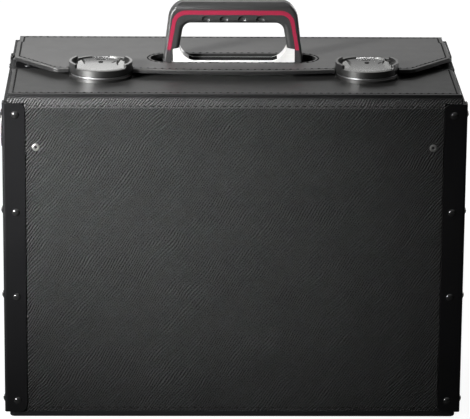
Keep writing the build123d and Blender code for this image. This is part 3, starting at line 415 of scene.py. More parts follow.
class Finishes:
    """Every finish of the case, by the record's material slot, and the extra ones."""

    panel = Finish(
        "ribbed_leathercloth", (0.002, 0.002, 0.0021), (0.034, 0.034, 0.035), (0.40, 0.50),
        Texture.RIBS, depth=1.1 * MM, specular=0.11, lining=(0.045, 0.043, 0.04),
    )
    top = Finish(
        "grained_leather", (0.024, 0.024, 0.0235), (0.043, 0.0425, 0.041), (0.40, 0.50),
        cell=0.8 * MM, depth=0.05 * MM, specular=0.42,
    )
    # The panel's leathercloth made lighter for the hinge strips: painted light, where the strip's
    # fold catches the lamps.
    hinge = Finish(
        "hinge_leathercloth_painted_light", (0.006, 0.006, 0.0062), (0.064, 0.064, 0.065), (0.40, 0.52),
        Texture.RIBS, depth=1.0 * MM, specular=0.2, fade_above=341 * MM,
    )
    # The lid's grained leather made darker for the flap: painted shade, for the shadow of the lid's
    # edge, the knobs and the handle.
    flap = Finish(
        "shaded_leather", (0.012, 0.012, 0.0118), (0.022, 0.022, 0.0215), (0.40, 0.50),
        cell=0.8 * MM, depth=0.05 * MM, specular=0.16,
    )
    # Faces of the stitch grooves, darker than the leather round them: painted shade in the grooves.
    seam = Finish(
        "groove_shade_leather", (0.012, 0.012, 0.012), (0.024, 0.024, 0.024), (0.6, 0.7),
        cell=0.6 * MM, depth=0.03 * MM, specular=0.2,
    )
    # Side faces of the lid and the flap: black edge paint, made darker still as painted shade, so
    # that the edge merges with the shadow under it.
    edge = Finish(
        "edge_paint_and_shade", (0.004, 0.004, 0.004), (0.009, 0.009, 0.009), (0.35, 0.45),
        cell=0.6 * MM, depth=0.03 * MM, specular=0.35,
    )
    thread = Finish(
        "waxed_thread", (0.002, 0.002, 0.002), (0.006, 0.006, 0.006), (0.55, 0.7),
        cell=0.35 * MM, depth=0.05 * MM, specular=0.15,
    )
    tray = Finish(
        "tray_plastic_black", (0.006, 0.006, 0.0066), (0.012, 0.012, 0.0126), (0.45, 0.55),
        cell=0.6 * MM, depth=0.03 * MM, specular=0.2,
    )
    board = Finish(
        "lining_felt", (0.040, 0.038, 0.036), (0.075, 0.072, 0.068), (0.85, 0.95),
        cell=0.5 * MM, depth=0.12 * MM, specular=0.2,
    )
    rail = Finish(
        "satin_black_steel", (0.003, 0.003, 0.0034), (0.006, 0.006, 0.0064), (0.30, 0.40),
        Texture.SMOOTH, cell=0.5 * MM, depth=0.012 * MM, specular=0.28,
    )
    rivet = Finish(
        "gloss_black_rivet", (0.008, 0.008, 0.008), (0.014, 0.014, 0.014), (0.16, 0.24),
        Texture.SMOOTH, cell=0.5 * MM, depth=0.006 * MM, specular=0.6,
    )
    nickel = Finish(
        "nickel_plate", (0.50, 0.49, 0.46), (0.66, 0.65, 0.62), (0.22, 0.32),
        Texture.BRUSHED, cell=0.3 * MM, depth=0.01 * MM, metallic=1.0,
    )
    steel = Finish(
        "zinc_plate", (0.42, 0.42, 0.43), (0.58, 0.58, 0.59), (0.30, 0.42),
        Texture.BRUSHED, cell=0.3 * MM, depth=0.01 * MM, metallic=1.0,
    )
    chrome = Finish(
        "black_chrome", (0.27, 0.27, 0.265), (0.36, 0.36, 0.35), (0.13, 0.20),
        Texture.SMOOTH, cell=0.6 * MM, depth=0.006 * MM, metallic=1.0,
    )
    grip = Finish(
        "soft_touch_grip", (0.012, 0.012, 0.012), (0.026, 0.026, 0.026), (0.34, 0.46),
        cell=0.8 * MM, depth=0.06 * MM, specular=0.38,
    )
    stripe = Finish(
        "crimson_inlay", (0.165, 0.0085, 0.026), (0.19, 0.01, 0.03), (0.40, 0.48),
        Texture.SMOOTH, cell=0.5 * MM, depth=0.008 * MM, specular=0.25,
    )
    silver = Finish(
        "satin_silver", (0.42, 0.42, 0.415), (0.54, 0.54, 0.53), (0.26, 0.36),
        Texture.SMOOTH, cell=0.4 * MM, depth=0.008 * MM, metallic=0.15,
    )
    # The knobs' chrome, rougher from brushing and much darker on their upright walls and on the
    # lock bases: the darker colour is painted shade that dims their highlights.
    painted_shade_chrome = Finish(
        "brushed_shaded_chrome", (0.075, 0.075, 0.074), (0.12, 0.12, 0.118), (0.34, 0.42),
        Texture.SMOOTH, cell=0.6 * MM, depth=0.008 * MM, metallic=1.0,
    )
    # Chrome of the two finger scoops, painted darker than the crown: painted shade in the hollows.
    scoop_painted_shade = Finish(
        "scoop_shade_chrome", (0.045, 0.045, 0.044), (0.075, 0.075, 0.073), (0.20, 0.28),
        Texture.SMOOTH, cell=0.6 * MM, depth=0.006 * MM, metallic=1.0,
    )
    # Near-black for the faces of cuts and holes: the knob marks, the knob screws and the trough in
    # the handle's base; painted shade of these hollows.
    recess_painted_shade = Finish(
        "near_black_recess_shade", (0.0025, 0.0025, 0.0025), (0.005, 0.005, 0.005), (0.6, 0.7),
        Texture.SMOOTH, cell=0.4 * MM, depth=0.01 * MM, specular=0.15,
    )
    aged = Finish(
        "aged_nickel", (0.22, 0.22, 0.21), (0.34, 0.34, 0.33), (0.40, 0.50),
        Texture.BRUSHED, cell=0.3 * MM, depth=0.01 * MM, metallic=1.0,
    )

    by_slot = {
        "leather_panel": panel,
        "leather_top": top,
        "leather_hinge": hinge,
        "tray_plastic": tray,
        "lining_board": board,
        "black_rail": rail,
        "black_rivet": rivet,
        "nickel": nickel,
        "steel": steel,
        "dark_chrome": chrome,
        "handle_grip": grip,
        "handle_stripe": stripe,
        "handle_base": silver,
    }
    by_node = {
        "front_eyelets": aged,
        # The knob screws take the near-black of the hollows: painted shade.
        **dict.fromkeys(("left_knob_screw", "right_knob_screw"), recess_painted_shade),
        # The lock bases take the darker chrome: painted shade.
        **dict.fromkeys(("left_lock_base", "right_lock_base"), painted_shade_chrome),
    }


class GeometryTree:
    """Geometry Nodes tree with named inputs, made by calls."""

    def __init__(self, name: str, inputs: dict[str, str]) -> None:
        """Opens the tree with a geometry socket at each end.

        Args:
            name: The tree's name.
            inputs: Socket type of each further input, by name.
        """
        self.tree = bpy.data.node_groups.new(name, "GeometryNodeTree")
        face = self.tree.interface
        face.new_socket(name="Geometry", in_out="INPUT", socket_type="NodeSocketGeometry")
        face.new_socket(name="Geometry", in_out="OUTPUT", socket_type="NodeSocketGeometry")
        for label, kind in inputs.items():
            face.new_socket(name=label, in_out="INPUT", socket_type=kind)
        self.entry = self.tree.nodes.new("NodeGroupInput")
        self.exit = self.tree.nodes.new("NodeGroupOutput")

    def input(self, name: str) -> bpy.types.NodeSocket:
        """One named input of the tree."""
        return self.entry.outputs[name]

    def node(
        self, kind: str, settings: dict | None = None, values: dict | None = None
    ) -> bpy.types.Node:
        """Adds a node, sets it and fills its sockets.

        Args:
            kind: The node's type.
            settings: Properties by name.
            values: A value or a socket to link for each named or numbered input.

        Returns:
            The node.
        """
        made = self.tree.nodes.new(kind)
        for name, value in (settings or {}).items():
            setattr(made, name, value)
        for name, value in (values or {}).items():
            if isinstance(value, bpy.types.NodeSocket):
                self.tree.links.new(value, made.inputs[name])
            else:
                made.inputs[name].default_value = value
        return made

    def scaled(self, name: str, factor: float) -> bpy.types.NodeSocket:
        """One named input times a plain number.

        Args:
            name: The input.
            factor: The number.

        Returns:
            The product.
        """
        values = {0: self.input(name), 1: factor}
        return self.node("ShaderNodeMath", {"operation": "MULTIPLY"}, values).outputs[0]

    def close(self, result: bpy.types.NodeSocket) -> None:
        """Realizes what was made, gives it its material and ends the tree.

        Args:
            result: The geometry that the tree hands out.
        """
        real = self.node("GeometryNodeRealizeInstances", {}, {"Geometry": result})
        dressed = self.node(
            "GeometryNodeSetMaterial",
            {},
            {"Geometry": real.outputs[0], "Material": self.input("Material")},
        )
        self.tree.links.new(dressed.outputs[0], self.exit.inputs[0])

    def run(self, source: bpy.types.Object, values: dict, name: str) -> bpy.types.Object:
        """Runs the tree on a source and keeps the result as a plain mesh.

        Args:
            source: The object that the tree starts from, removed afterwards.
            values: A value for each named input.
            name: Name of the new piece.

        Returns:
            The new piece, with no modifier.
        """
        modifier = source.modifiers.new(self.tree.name, "NODES")
        modifier.node_group = self.tree
        for item in self.tree.interface.items_tree:
            if item.in_out == "INPUT" and item.name in values:
                modifier[item.identifier] = values[item.name]
        mesh = evaluated_mesh(source)
        source.modifiers.remove(modifier)
        bpy.data.objects.remove(source)
        mesh.name = name
        return add_object(name, mesh)


def add_object(name: str, mesh: bpy.types.Mesh) -> bpy.types.Object:
    """Puts a mesh into the scene as an object at the origin.

    Args:
        name: Name of the object.
        mesh: Its mesh, which holds its place.

    Returns:
        The object.
    """
    piece = bpy.data.objects.new(name, mesh)
    bpy.context.scene.collection.objects.link(piece)
    return piece


def evaluated_mesh(piece: bpy.types.Object) -> bpy.types.Mesh:
    """Plain mesh of an object with its modifiers applied."""
    graph = bpy.context.evaluated_depsgraph_get()
    return bpy.data.meshes.new_from_object(piece.evaluated_get(graph), depsgraph=graph)


def finished_mesh(work: bmesh.types.BMesh, name: str, *finishes: Finish) -> bpy.types.Mesh:
    """Turns a working mesh into a plain one and frees it.

    Args:
        work: The working mesh.
        name: Name of the new mesh.
        finishes: Its finishes, in the order of its materials.

    Returns:
        The new mesh.
    """
    mesh = bpy.data.meshes.new(name)
    work.to_mesh(mesh)
    work.free()
    for finish in finishes:
        mesh.materials.append(finish.material())
    return mesh


def smooth_by_angle(mesh: bpy.types.Mesh, degrees_limit: float = 35.0) -> None:
    """Shades a mesh smooth, with sharp edges past an angle.

    Args:
        mesh: The mesh.
        degrees_limit: Edges that turn by more stay sharp.
    """
    mesh.shade_smooth()
    mesh.set_sharp_from_angle(angle=radians(degrees_limit))


def merged_copy(node: str) -> bpy.types.Mesh:
    """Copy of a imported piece's mesh with its loose triangles joined.

    Args:
        node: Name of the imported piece.

    Returns:
        The joined mesh, without materials.
    """
    mesh = frame["nodes"][node].data.copy()
    mesh.materials.clear()
    work = bmesh.new()
    work.from_mesh(mesh)
    bmesh.ops.remove_doubles(work, verts=work.verts, dist=WELD)
    work.to_mesh(mesh)
    work.free()
    if "custom_normal" in mesh.attributes:
        mesh.attributes.remove(mesh.attributes["custom_normal"])
    return mesh


def outline_loops(node: str) -> list[Path]:
    """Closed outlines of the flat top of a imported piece, the longest first.

    Args:
        node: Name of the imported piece.

    Returns:
        The points of each outline, in order.
    """
    work = bmesh.new()
    work.from_mesh(frame["nodes"][node].data)
    bmesh.ops.remove_doubles(work, verts=work.verts, dist=WELD)
    lowest = max(v.co.z for v in work.verts) - 0.05 * MM
    upward = (f for f in work.faces if f.normal.z > 0.99)
    flat = {f for f in upward if f.calc_center_median().z > lowest}
    # A dict keeps the mesh's own order of edges, so each run starts at the same edge.
    rim = dict.fromkeys(e for e in work.edges if sum(f in flat for f in e.link_faces) == 1)
    loops = []
    while rim:
        edge = next(iter(rim))
        del rim[edge]
        start, here = edge.verts
        points = [start.co.copy(), here.co.copy()]
        while here is not start:
            edge = next((e for e in here.link_edges if e in rim), None)
            if edge is None:
                break
            del rim[edge]
            here = edge.other_vert(here)
            points.append(here.co.copy())
        loops.append(points[:-1])
    work.free()
    return sorted(loops, key=path_length, reverse=True)


def path_length(points: Path) -> float:
    """Length of a path from point to point."""
    return sum((b - a).length for a, b in zip(points, points[1:]))


def signed_area(points: Path) -> float:
    """Area inside a closed path seen from above, positive where it runs anticlockwise."""
    return sum(a.x * b.y - b.x * a.y for a, b in zip(points, points[1:] + points[:1])) / 2


def inset(points: Path, distance: float) -> Path:
    """Closed path moved inwards, with the points left out that would fold over.

    Args:
        points: A closed path seen from above.
        distance: How far inwards; a negative distance moves it outwards.

    Returns:
        The moved path, anticlockwise.
    """
    ring = points if signed_area(points) > 0 else points[::-1]
    ring = resample(ring + ring[:1], 1.0 * MM)[:-1]
    moved = []
    for before, here, after in zip(ring[-1:] + ring[:-1], ring, ring[1:] + ring[:1]):
        run = (after - before).normalized()
        moved.append(here + Vector((-run.y, run.x, 0)) * distance)
    clear = abs(distance) - 0.12 * MM
    return [p for p in moved if all(hypot(p.x - q.x, p.y - q.y) > clear for q in ring)]


def resample(points: Path, step: float) -> Path:
    """Points at even steps along a path, its ends kept.

    Args:
        points: The path.
        step: Wanted distance between points.

    Returns:
        The new points.
    """
    total = path_length(points)
    count = max(2, round(total / step))
    result, index, walked = [points[0].copy()], 0, 0.0
    for k in range(1, count):
        target = total * k / count
        while walked + (points[index + 1] - points[index]).length < target:
            walked += (points[index + 1] - points[index]).length
            index += 1
        span = points[index + 1] - points[index]
        result.append(points[index] + span * ((target - walked) / span.length))
    return result + [points[-1].copy()]


def resample_corners(points: Path, step: float) -> Path:
    """Even points along each leg of a path, with its corners kept.

    Args:
        points: The corners.
        step: Wanted distance between points.

    Returns:
        The new points.
    """
    result = [points[0]]
    for first, second in zip(points, points[1:]):
        result += resample([first, second], step)[1:]
    return result


def split_path(points: Path, keep: Callable[[Vector], bool]) -> list[Path]:
    """Runs of a path whose points all pass a test.

    Args:
        points: The path.
        keep: The test of one point.

    Returns:
        The runs of at least three points.
    """
    runs, run = [], []
    for point in points:
        if keep(point):
            run.append(point)
        else:
            runs.append(run)
            run = []
    return [r for r in runs + [run] if len(r) > 2]


@dataclass
class Seam:
    """Rows of stitches that lie in a groove."""

    name: str
    body: str
    facing: Facing
    rows: list[Path]
    pitch: float = 7.2 * MM
    length: float = 4.9 * MM
    radius: float = 0.6 * MM
    groove: float = 0.85 * MM

    def stitch(self) -> bpy.types.Object:
        """Makes the stitches of every row.

        Returns:
            The piece, which rides on its body.
        """
        mesh = bpy.data.meshes.new(self.name)
        points = [p for row in self.rows for p in row]
        edges, first = [], 0
        for row in self.rows:
            edges += [(first + k, first + k + 1) for k in range(len(row) - 1)]
            first += len(row)
        mesh.from_pydata(points, edges, [])
        source = add_object(self.name + "_rows", mesh)
        values = {
            "Pitch": self.pitch,
            "Length": self.length,
            "Radius": self.radius,
            "Facing": self.facing.value,
            "Seed": 7,
            "Material": Finishes.thread.material(),
        }
        piece = stitch_tree().run(source, values, self.name)
        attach(piece, self.body)
        LOG.info("%s: %d rows of stitches", self.name, len(self.rows))
        return piece

    def cutter(self) -> bpy.types.Object:
        """Tube along every row, which cuts the groove.

        Returns:
            The tube, to be removed after the cut.
        """
        work = bmesh.new()
        up = Vector(self.facing.value)
        for row in self.rows:
            self._tube(work, row, up)
        name = self.name + "_cutter"
        return add_object(name, finished_mesh(work, name, Finishes.seam))

    def _tube(self, work: bmesh.types.BMesh, row: Path, up: Vector) -> None:
        """Adds one tube, closed in a ring or with two caps.

        Args:
            work: The mesh to add to.
            row: The row that the tube follows.
            up: Direction out of the leather.
        """
        closed = (row[0] - row[-1]).length < 0.01 * MM
        points = row[:-1] if closed else row
        rings = []
        for k, here in enumerate(points):
            before = points[k - 1] if k or closed else here
            after = points[(k + 1) % len(points)] if k + 1 < len(points) or closed else here
            run = (after - before).normalized()
            side = up.cross(run).normalized()
            ring = []
            for step in range(8):
                angle = 2 * pi * step / 8
                offset = side * cos(angle) * self.groove + up * sin(angle) * self.groove * 0.8
                ring.append(work.verts.new(here + offset))
            rings.append(ring)
        count = len(rings)
        for k in range(count if closed else count - 1):
            first, second = rings[k], rings[(k + 1) % count]
            for step in range(8):
                after = (step + 1) % 8
                work.faces.new((first[step], first[after], second[after], second[step]))
        if not closed:
            work.faces.new(rings[0][::-1])
            work.faces.new(rings[-1])


@cache
def stitch_tree() -> GeometryTree:
    """Geometry Nodes tree that lays an arched stitch at even steps along its edges.

    Returns:
        The tree, built once.
    """
    tree = GeometryTree(
        "stitches",
        {
            "Pitch": "NodeSocketFloat",
            "Length": "NodeSocketFloat",
            "Radius": "NodeSocketFloat",
            "Facing": "NodeSocketVector",
            "Seed": "NodeSocketInt",
            "Material": "NodeSocketMaterial",
        },
    )
    rows = tree.node("GeometryNodeMeshToCurve", {}, {"Mesh": tree.input("Geometry")})
    even = tree.node(
        "GeometryNodeResampleCurve",
        {"mode": "LENGTH"},
        {"Curve": rows.outputs[0], "Length": tree.input("Pitch")},
    )
    sunk = tree.scaled("Radius", -1.6)
    places = {
        "Start": {"X": tree.scaled("Length", -0.5), "Z": sunk},
        "Middle": {"X": 0.0, "Z": tree.scaled("Radius", 2.2)},
        "End": {"X": tree.scaled("Length", 0.5), "Z": sunk},
    }
    points = {
        name: tree.node("ShaderNodeCombineXYZ", {}, values).outputs[0]
        for name, values in places.items()
    }
    arch = tree.node("GeometryNodeCurveQuadraticBezier", {}, {"Resolution": 6, **points})
    section = tree.node(
        "GeometryNodeCurvePrimitiveCircle", {}, {"Resolution": 6, "Radius": tree.input("Radius")}
    )
    thread = tree.node(
        "GeometryNodeCurveToMesh",
        {},
        {"Curve": arch.outputs[0], "Profile Curve": section.outputs[0], "Fill Caps": True},
    )
    tangent = tree.node("GeometryNodeInputTangent")
    upright = tree.node(
        "FunctionNodeAlignRotationToVector", {"axis": "Z"}, {"Vector": tree.input("Facing")}
    )
    along = tree.node(
        "FunctionNodeAlignRotationToVector",
        {"axis": "X", "pivot_axis": "Z"},
        {"Rotation": upright.outputs[0], "Vector": tangent.outputs[0]},
    )
    stretch = tree.node(
        "FunctionNodeRandomValue",
        {"data_type": "FLOAT"},
        {2: 0.9, 3: 1.06, "Seed": tree.input("Seed")},
    )
    placed = tree.node(
        "GeometryNodeInstanceOnPoints",
        {},
        {
            "Points": even.outputs[0],
            "Instance": thread.outputs[0],
            "Rotation": along.outputs[0],
            "Scale": stretch.outputs[1],
        },
    )
    tree.close(placed.outputs[0])
    return tree


def cut_grooves(piece: bpy.types.Object, seams: list[Seam]) -> None:
    """Cuts the groove of each seam into a leather piece.

    Args:
        piece: The leather piece, whose first material stays.
        seams: The seams that lie on it.
    """
    for seam in seams:
        carve(piece, seam.cutter())
    smooth_by_angle(piece.data)


def carve(piece: bpy.types.Object, tool: bpy.types.Object) -> None:
    """Takes a tool's shape out of a piece and removes the tool.

    Args:
        piece: The piece, which keeps its materials.
        tool: The closed tool, whose material the cut faces take.
    """
    cut = piece.modifiers.new("cut", "BOOLEAN")
    cut.operation = "DIFFERENCE"
    cut.solver = "MANIFOLD"
    cut.material_mode = "TRANSFER"
    cut.object = tool
    mesh = evaluated_mesh(piece)
    piece.modifiers.remove(cut)
    old = piece.data
    piece.data = mesh
    bpy.data.meshes.remove(old)
    bpy.data.objects.remove(tool)


@dataclass
class TopLeather:
    """Lid and flap: boards covered in grained leather, stitched near their edges."""

    border: float = 4.9 * MM
    slot_border: float = 2.8 * MM
    flap_border: float = 4.6 * MM
    lock_clear: float = 1.4 * MM
    bay_clear: float = 2.5 * MM
    edge_drop: float = 0.4 * MM
    locks: list[tuple[Vector, float]] = field(default_factory=list)

    def build(self) -> None:
        """Makes the lid and the flap with their stitches."""
        self._find_locks()
        self._lid()
        self._flap()

    def _leather(self, name: str, node: str, body: str, seams: list[Seam]) -> None:
        """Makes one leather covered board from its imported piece.

        Args:
            name: Name of the new piece.
            node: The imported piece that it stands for.
            body: The body that it rides on.
            seams: The seams on it.
        """
        mesh = merged_copy(node)
        # The flap takes the darker copy of the leather, which is painted shade.
        skin = Finishes.flap if body == "flap" else Finishes.top
        mesh.materials.append(skin.material())
        mesh.materials.append(Finishes.edge.material())
        # Side faces below the top take the near-black edge finish: edge paint and painted shade.
        below = max(v.co.z for v in mesh.vertices) - self.edge_drop
        for face in mesh.polygons:
            if abs(face.normal.z) < 0.5 and face.center.z < below:
                face.material_index = 1
        piece = add_object(name, mesh)
        cut_grooves(piece, seams)
        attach(piece, body)
        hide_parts(node)
        for seam in seams:
            seam.stitch()

    def _find_locks(self) -> None:
        """Notes the axis and radius of each knob, seen from above."""
        for _, name in SIDES:
            low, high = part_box(f"{name}_knob")
            self.locks.append(((low + high) / 2, (high.x - low.x) / 2))

    def _clear_of_locks(self, point: Vector, margin: float) -> bool:
        """Tells whether a point stands clear of both locks.

        Args:
            point: The point.
            margin: Room asked for past the knob.

        Returns:
            True where it is clear.
        """
        return all(
            hypot(point.x - axis.x, point.y - axis.y) > radius + margin
            for axis, radius in self.locks
        )

    def _lid(self) -> None:
        """Lid with a row near its edge and a ring of stitches round the handle slot."""
        outer, slot = outline_loops("lid")[:2]
        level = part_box("lid")[1].z
        edge_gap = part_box("lid")[1].x - max(p.x for p in outer)
        bridged = [p for p in outer if self._clear_of_locks(p, self.bay_clear)]
        opened = self._opened(inset(bridged, self.border - edge_gap))
        runs = split_path(opened + opened[:1], lambda p: self._clear_of_locks(p, self.lock_clear))
        rows = [[Vector((p.x, p.y, level)) for p in run] for run in runs]
        outside = inset(slot, -self.slot_border)
        loop = [Vector((p.x, p.y, level)) for p in outside + outside[:1]]
        seams = [
            Seam("lid_edge_stitches", "lid", Facing.UP, rows),
            Seam("handle_slot_stitches", "lid", Facing.UP, [loop]),
        ]
        self._leather("lid_leather", "lid", "lid", seams)

    @staticmethod
    def _opened(ring: Path) -> Path:
        """Closed ring opened at the middle of its rear run.

        Args:
            ring: The ring.

        Returns:
            The ring, started at the point nearest to the middle of the rear.
        """
        rear = max(p.y for p in ring)
        start = min(range(len(ring)), key=lambda k: abs(ring[k].x) + 10 * (rear - ring[k].y))
        return ring[start:] + ring[:start]

    def _flap(self) -> None:
        """Flap with a row near its front edge and down both ends."""
        low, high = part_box("front_flap")
        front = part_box("front_hinge_strip")[0].y + self.flap_border
        rear = high.y - 2 * MM
        side = high.x - self.flap_border
        corners = [(-side, rear), (-side, front), (side, front), (side, rear)]
        row = [Vector((x, y, high.z)) for x, y in corners]
        seams = [Seam("flap_stitches", "flap", Facing.UP, [resample_corners(row, 2 * MM)])]
        self._leather("flap_leather", "front_flap", "flap", seams)


@dataclass
class HingeLeather:
    """Soft strip that hangs the lid or the flap on its wall."""

    node: str
    body: str
    facing: Facing
    stitch_rise: float = 2.2 * MM
    stitch_end: float = 4 * MM
    bend_start: float = 0.35
    bend_end: float = 3.2 * MM
    fold_share: float = 0.95
    lower_rows: int = 5
    upper_rows: int = 8
    fold_rows: int = 5
    steps: int = 90

    def build(self) -> None:
        """Makes the strip with its bend and its row of stitches."""
        low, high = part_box(self.node)
        out = self.facing.value[1]
        face = high.y if out > 0 else low.y
        back = low.y if out > 0 else high.y
        mesh = self._strip(low, high, face, back)
        smooth_by_angle(mesh, 50)
        piece = add_object(self.node.replace("strip", "leather"), mesh)
        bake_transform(piece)
        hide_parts(self.node)
        half = self._shoulder(self.node) - self.stitch_end
        ends = [Vector((x, face, low.z + self.stitch_rise)) for x in (-half, half)]
        row = resample(ends, 2 * MM)
        seam = Seam(self.node + "_stitches", "case", self.facing, [row])
        seam.stitch()
        LOG.info("%s leather: %d vertices", self.node, len(mesh.vertices))

    @staticmethod
    def _shoulder(node: str) -> float:
        """Half width of a strip at its lower edge, between the rails.

        Args:
            node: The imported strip.

        Returns:
            The half width.
        """
        verts = frame["nodes"][node].data.vertices
        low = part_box(node)[0].z
        return max(v.co.x for v in verts if v.co.z < low + 0.1 * MM)

    def _strip(self, low: Vector, high: Vector, face: float, back: float) -> bpy.types.Mesh:
        """Closed strip in rows from its lower edge over the rounded fold.

        Args:
            low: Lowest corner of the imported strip.
            high: Highest corner.
            face: Y of its outer face.
            back: Y of its inner face.

        Returns:
            The mesh.
        """
        gauge = abs(face - back)
        out = 1 if face > back else -1
        rail_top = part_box("front_left_rail")[1].z + 0.3 * MM
        narrow, wide = self._shoulder(self.node), high.x
        fold = self.fold_share * gauge
        section = [
            (face, low.z + (rail_top - low.z) * k / self.lower_rows, narrow)
            for k in range(self.lower_rows + 1)
        ]
        section += [
            (face, rail_top + (high.z - fold - rail_top) * k / self.upper_rows, wide)
            for k in range(self.upper_rows + 1)
        ]
        inner = [(back, z, half) for _, z, half in section][::-1]
        for k in range(1, self.fold_rows + 1):
            angle = pi / 2 * k / self.fold_rows
            section.append(
                (face - out * fold * (1 - cos(angle)), high.z - fold + fold * sin(angle), wide)
            )
        section += [(back, high.z, wide), *inner]
        work = bmesh.new()
        grid = []
        for y, z, half in section:
            grid.append(
                [
                    work.verts.new((-half + 2 * half * k / self.steps, y, z))
                    for k in range(self.steps + 1)
                ]
            )
        count = len(grid)
        for r in range(count):
            first, second = grid[r], grid[(r + 1) % count]
            for k in range(self.steps):
                work.faces.new((first[k], first[k + 1], second[k + 1], second[k]))
        for k in (0, self.steps):
            work.faces.new([ring[k] for ring in grid])
        bmesh.ops.recalc_face_normals(work, faces=work.faces)
        return finished_mesh(work, self.node + "_leather", Finishes.hinge)


@dataclass
class PanelSkin:
    """Leathercloth on one outer wall between the rails, soft at its edges."""

    name: str
    facing: Facing
    low: tuple[float, float]
    high: tuple[float, float]
    plane: float
    thickness: float = 0.6 * MM
    step: float = 2.5 * MM
    edge: float = 1.1 * MM
    dimples: list[tuple[float, float]] = field(default_factory=list)
    dimple_radius: float = 15 * MM
    dimple_depth: float = 0.8 * MM
    swell_share: float = 0.7
    pucker_share: float = 0.35
    pucker_count: int = 7
    sink_share: float = 2.2
    thinnest: float = 0.05 * MM

    def build(self) -> bpy.types.Object:
        """Makes the skin.

        Returns:
            The skin, which rides on the case.
        """
        normal = Vector(self.facing.value)
        across = Vector((0, 1, 0)) if normal.x else Vector((1, 0, 0))
        us = self._places(self.low[0], self.high[0])
        vs = self._places(self.low[1], self.high[1])
        work = bmesh.new()
        base = normal * (self.plane * sum(normal))
        grid = []
        for v in vs:
            row = []
            for u in us:
                rise = self._rise(u, v)
                row.append(work.verts.new(base + across * u + Vector((0, 0, v)) + normal * rise))
            grid.append(row)
        for r in range(len(vs) - 1):
            for k in range(len(us) - 1):
                work.faces.new((grid[r][k], grid[r][k + 1], grid[r + 1][k + 1], grid[r + 1][k]))
        if across.cross(Vector((0, 0, 1))).dot(normal) < 0:
            bmesh.ops.reverse_faces(work, faces=work.faces)
        mesh = finished_mesh(work, self.name, Finishes.panel)
        mesh.shade_smooth()
        piece = add_object(self.name, mesh)
        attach(piece, "case")
        LOG.info("%s: %d vertices", self.name, len(mesh.vertices))
        return piece

    def _places(self, low: float, high: float) -> list[float]:
        """Places of the grid lines, closer together at both edges.

        Args:
            low: First place.
            high: Last place.

        Returns:
            The places.
        """
        tight = [0.0, 0.12, 0.3, 0.55, 1.0]
        inner_low, inner_high = low + self.edge, high - self.edge
        count = max(2, round((inner_high - inner_low) / self.step))
        inner = [inner_low + (inner_high - inner_low) * k / count for k in range(count + 1)]
        start = [low + self.edge * t for t in tight[:-1]]
        end = [high - self.edge * t for t in tight[:-1]][::-1]
        return start + inner + end

    def _rise(self, u: float, v: float) -> float:
        """Height of the skin over its wall.

        Args:
            u: Place across.
            v: Place up.

        Returns:
            The height.
        """
        inwards = min(u - self.low[0], self.high[0] - u, v - self.low[1], self.high[1] - v)
        share = max(0.0, min(1.0, inwards / self.edge))
        height = self.thickness * (1 - (1 - share) ** 2) ** 0.5
        for x, z in self.dimples:
            far = hypot(u - x, v - z)
            if far < self.dimple_radius:
                fall = 0.5 + 0.5 * cos(pi * far / self.dimple_radius)
                swell = 4 * fall * (1 - fall)
                wave = sin(self.pucker_count * atan2(v - z, u - x))
                pucker = self.pucker_share * wave * swell
                height += self.dimple_depth * (self.swell_share * swell + pucker * swell)
                sunk = height - self.sink_share * self.dimple_depth * fall**4
                height = max(self.thinnest, sunk)
        return height


@dataclass
class Grip:
    """Handle with finger dimples on its faces and a trough in its silver base, painted near-black
    as shade.
    """

    dimple_count: int = 4
    dimple_pitch: float = 18.8 * MM
    dimple_size: tuple[float, float, float] = (4.6 * MM, 1.9 * MM, 3.4 * MM)
    dimple_rise: float = 4.3 * MM
    arch_half: float = 36 * MM
    trough_half: float = 46 * MM
    trough_depth: float = 5.0 * MM
    lip: float = 1.7 * MM
    bar_half: float = 30 * MM
    bar_height: float = 6.5 * MM

    def build(self) -> None:
        """Makes the grip and the base."""
        self._grip()
        self._base()

    def _grip(self) -> None:
        """Grip with a row of dimples on each face under the inlay."""
        low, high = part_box("handle_grip")
        verts = frame["nodes"]["handle_grip"].data.vertices
        arch = min(v.co.z for v in verts if abs(v.co.x) < self.arch_half)
        work = bmesh.new()
        for y in (low.y, high.y):
            for k in range(self.dimple_count):
                x = (k - (self.dimple_count - 1) / 2) * self.dimple_pitch
                place = Matrix.Translation((x, y, arch + self.dimple_rise))
                size = Matrix.Diagonal((*self.dimple_size, 1.0))
                bmesh.ops.create_uvsphere(
                    work, u_segments=24, v_segments=16, radius=1.0, matrix=place @ size
                )
        show_cut("handle_grip", "grip_moulding", "case", work, Finishes.grip, Finishes.grip)

    def _base(self) -> None:
        """Base whose long bar keeps a thin front lip before a trough painted near-black as shade.
        """
        low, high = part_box("handle_base")
        verts = frame["nodes"]["handle_base"].data.vertices
        middle = (v.co.z for v in verts if abs(v.co.x) < self.bar_half)
        top = max(middle, default=low.z + self.bar_height)
        work = bmesh.new()
        span = Matrix.Diagonal(
            (2 * self.trough_half, high.y - low.y - 2 * self.lip, 2 * self.trough_depth, 1.0)
        )
        place = Matrix.Translation((0, (low.y + high.y) / 2, top))
        bmesh.ops.create_cube(work, size=1.0, matrix=place @ span)
        show_cut("handle_base", "base_casting", "case", work, Finishes.silver, Finishes.recess_painted_shade)


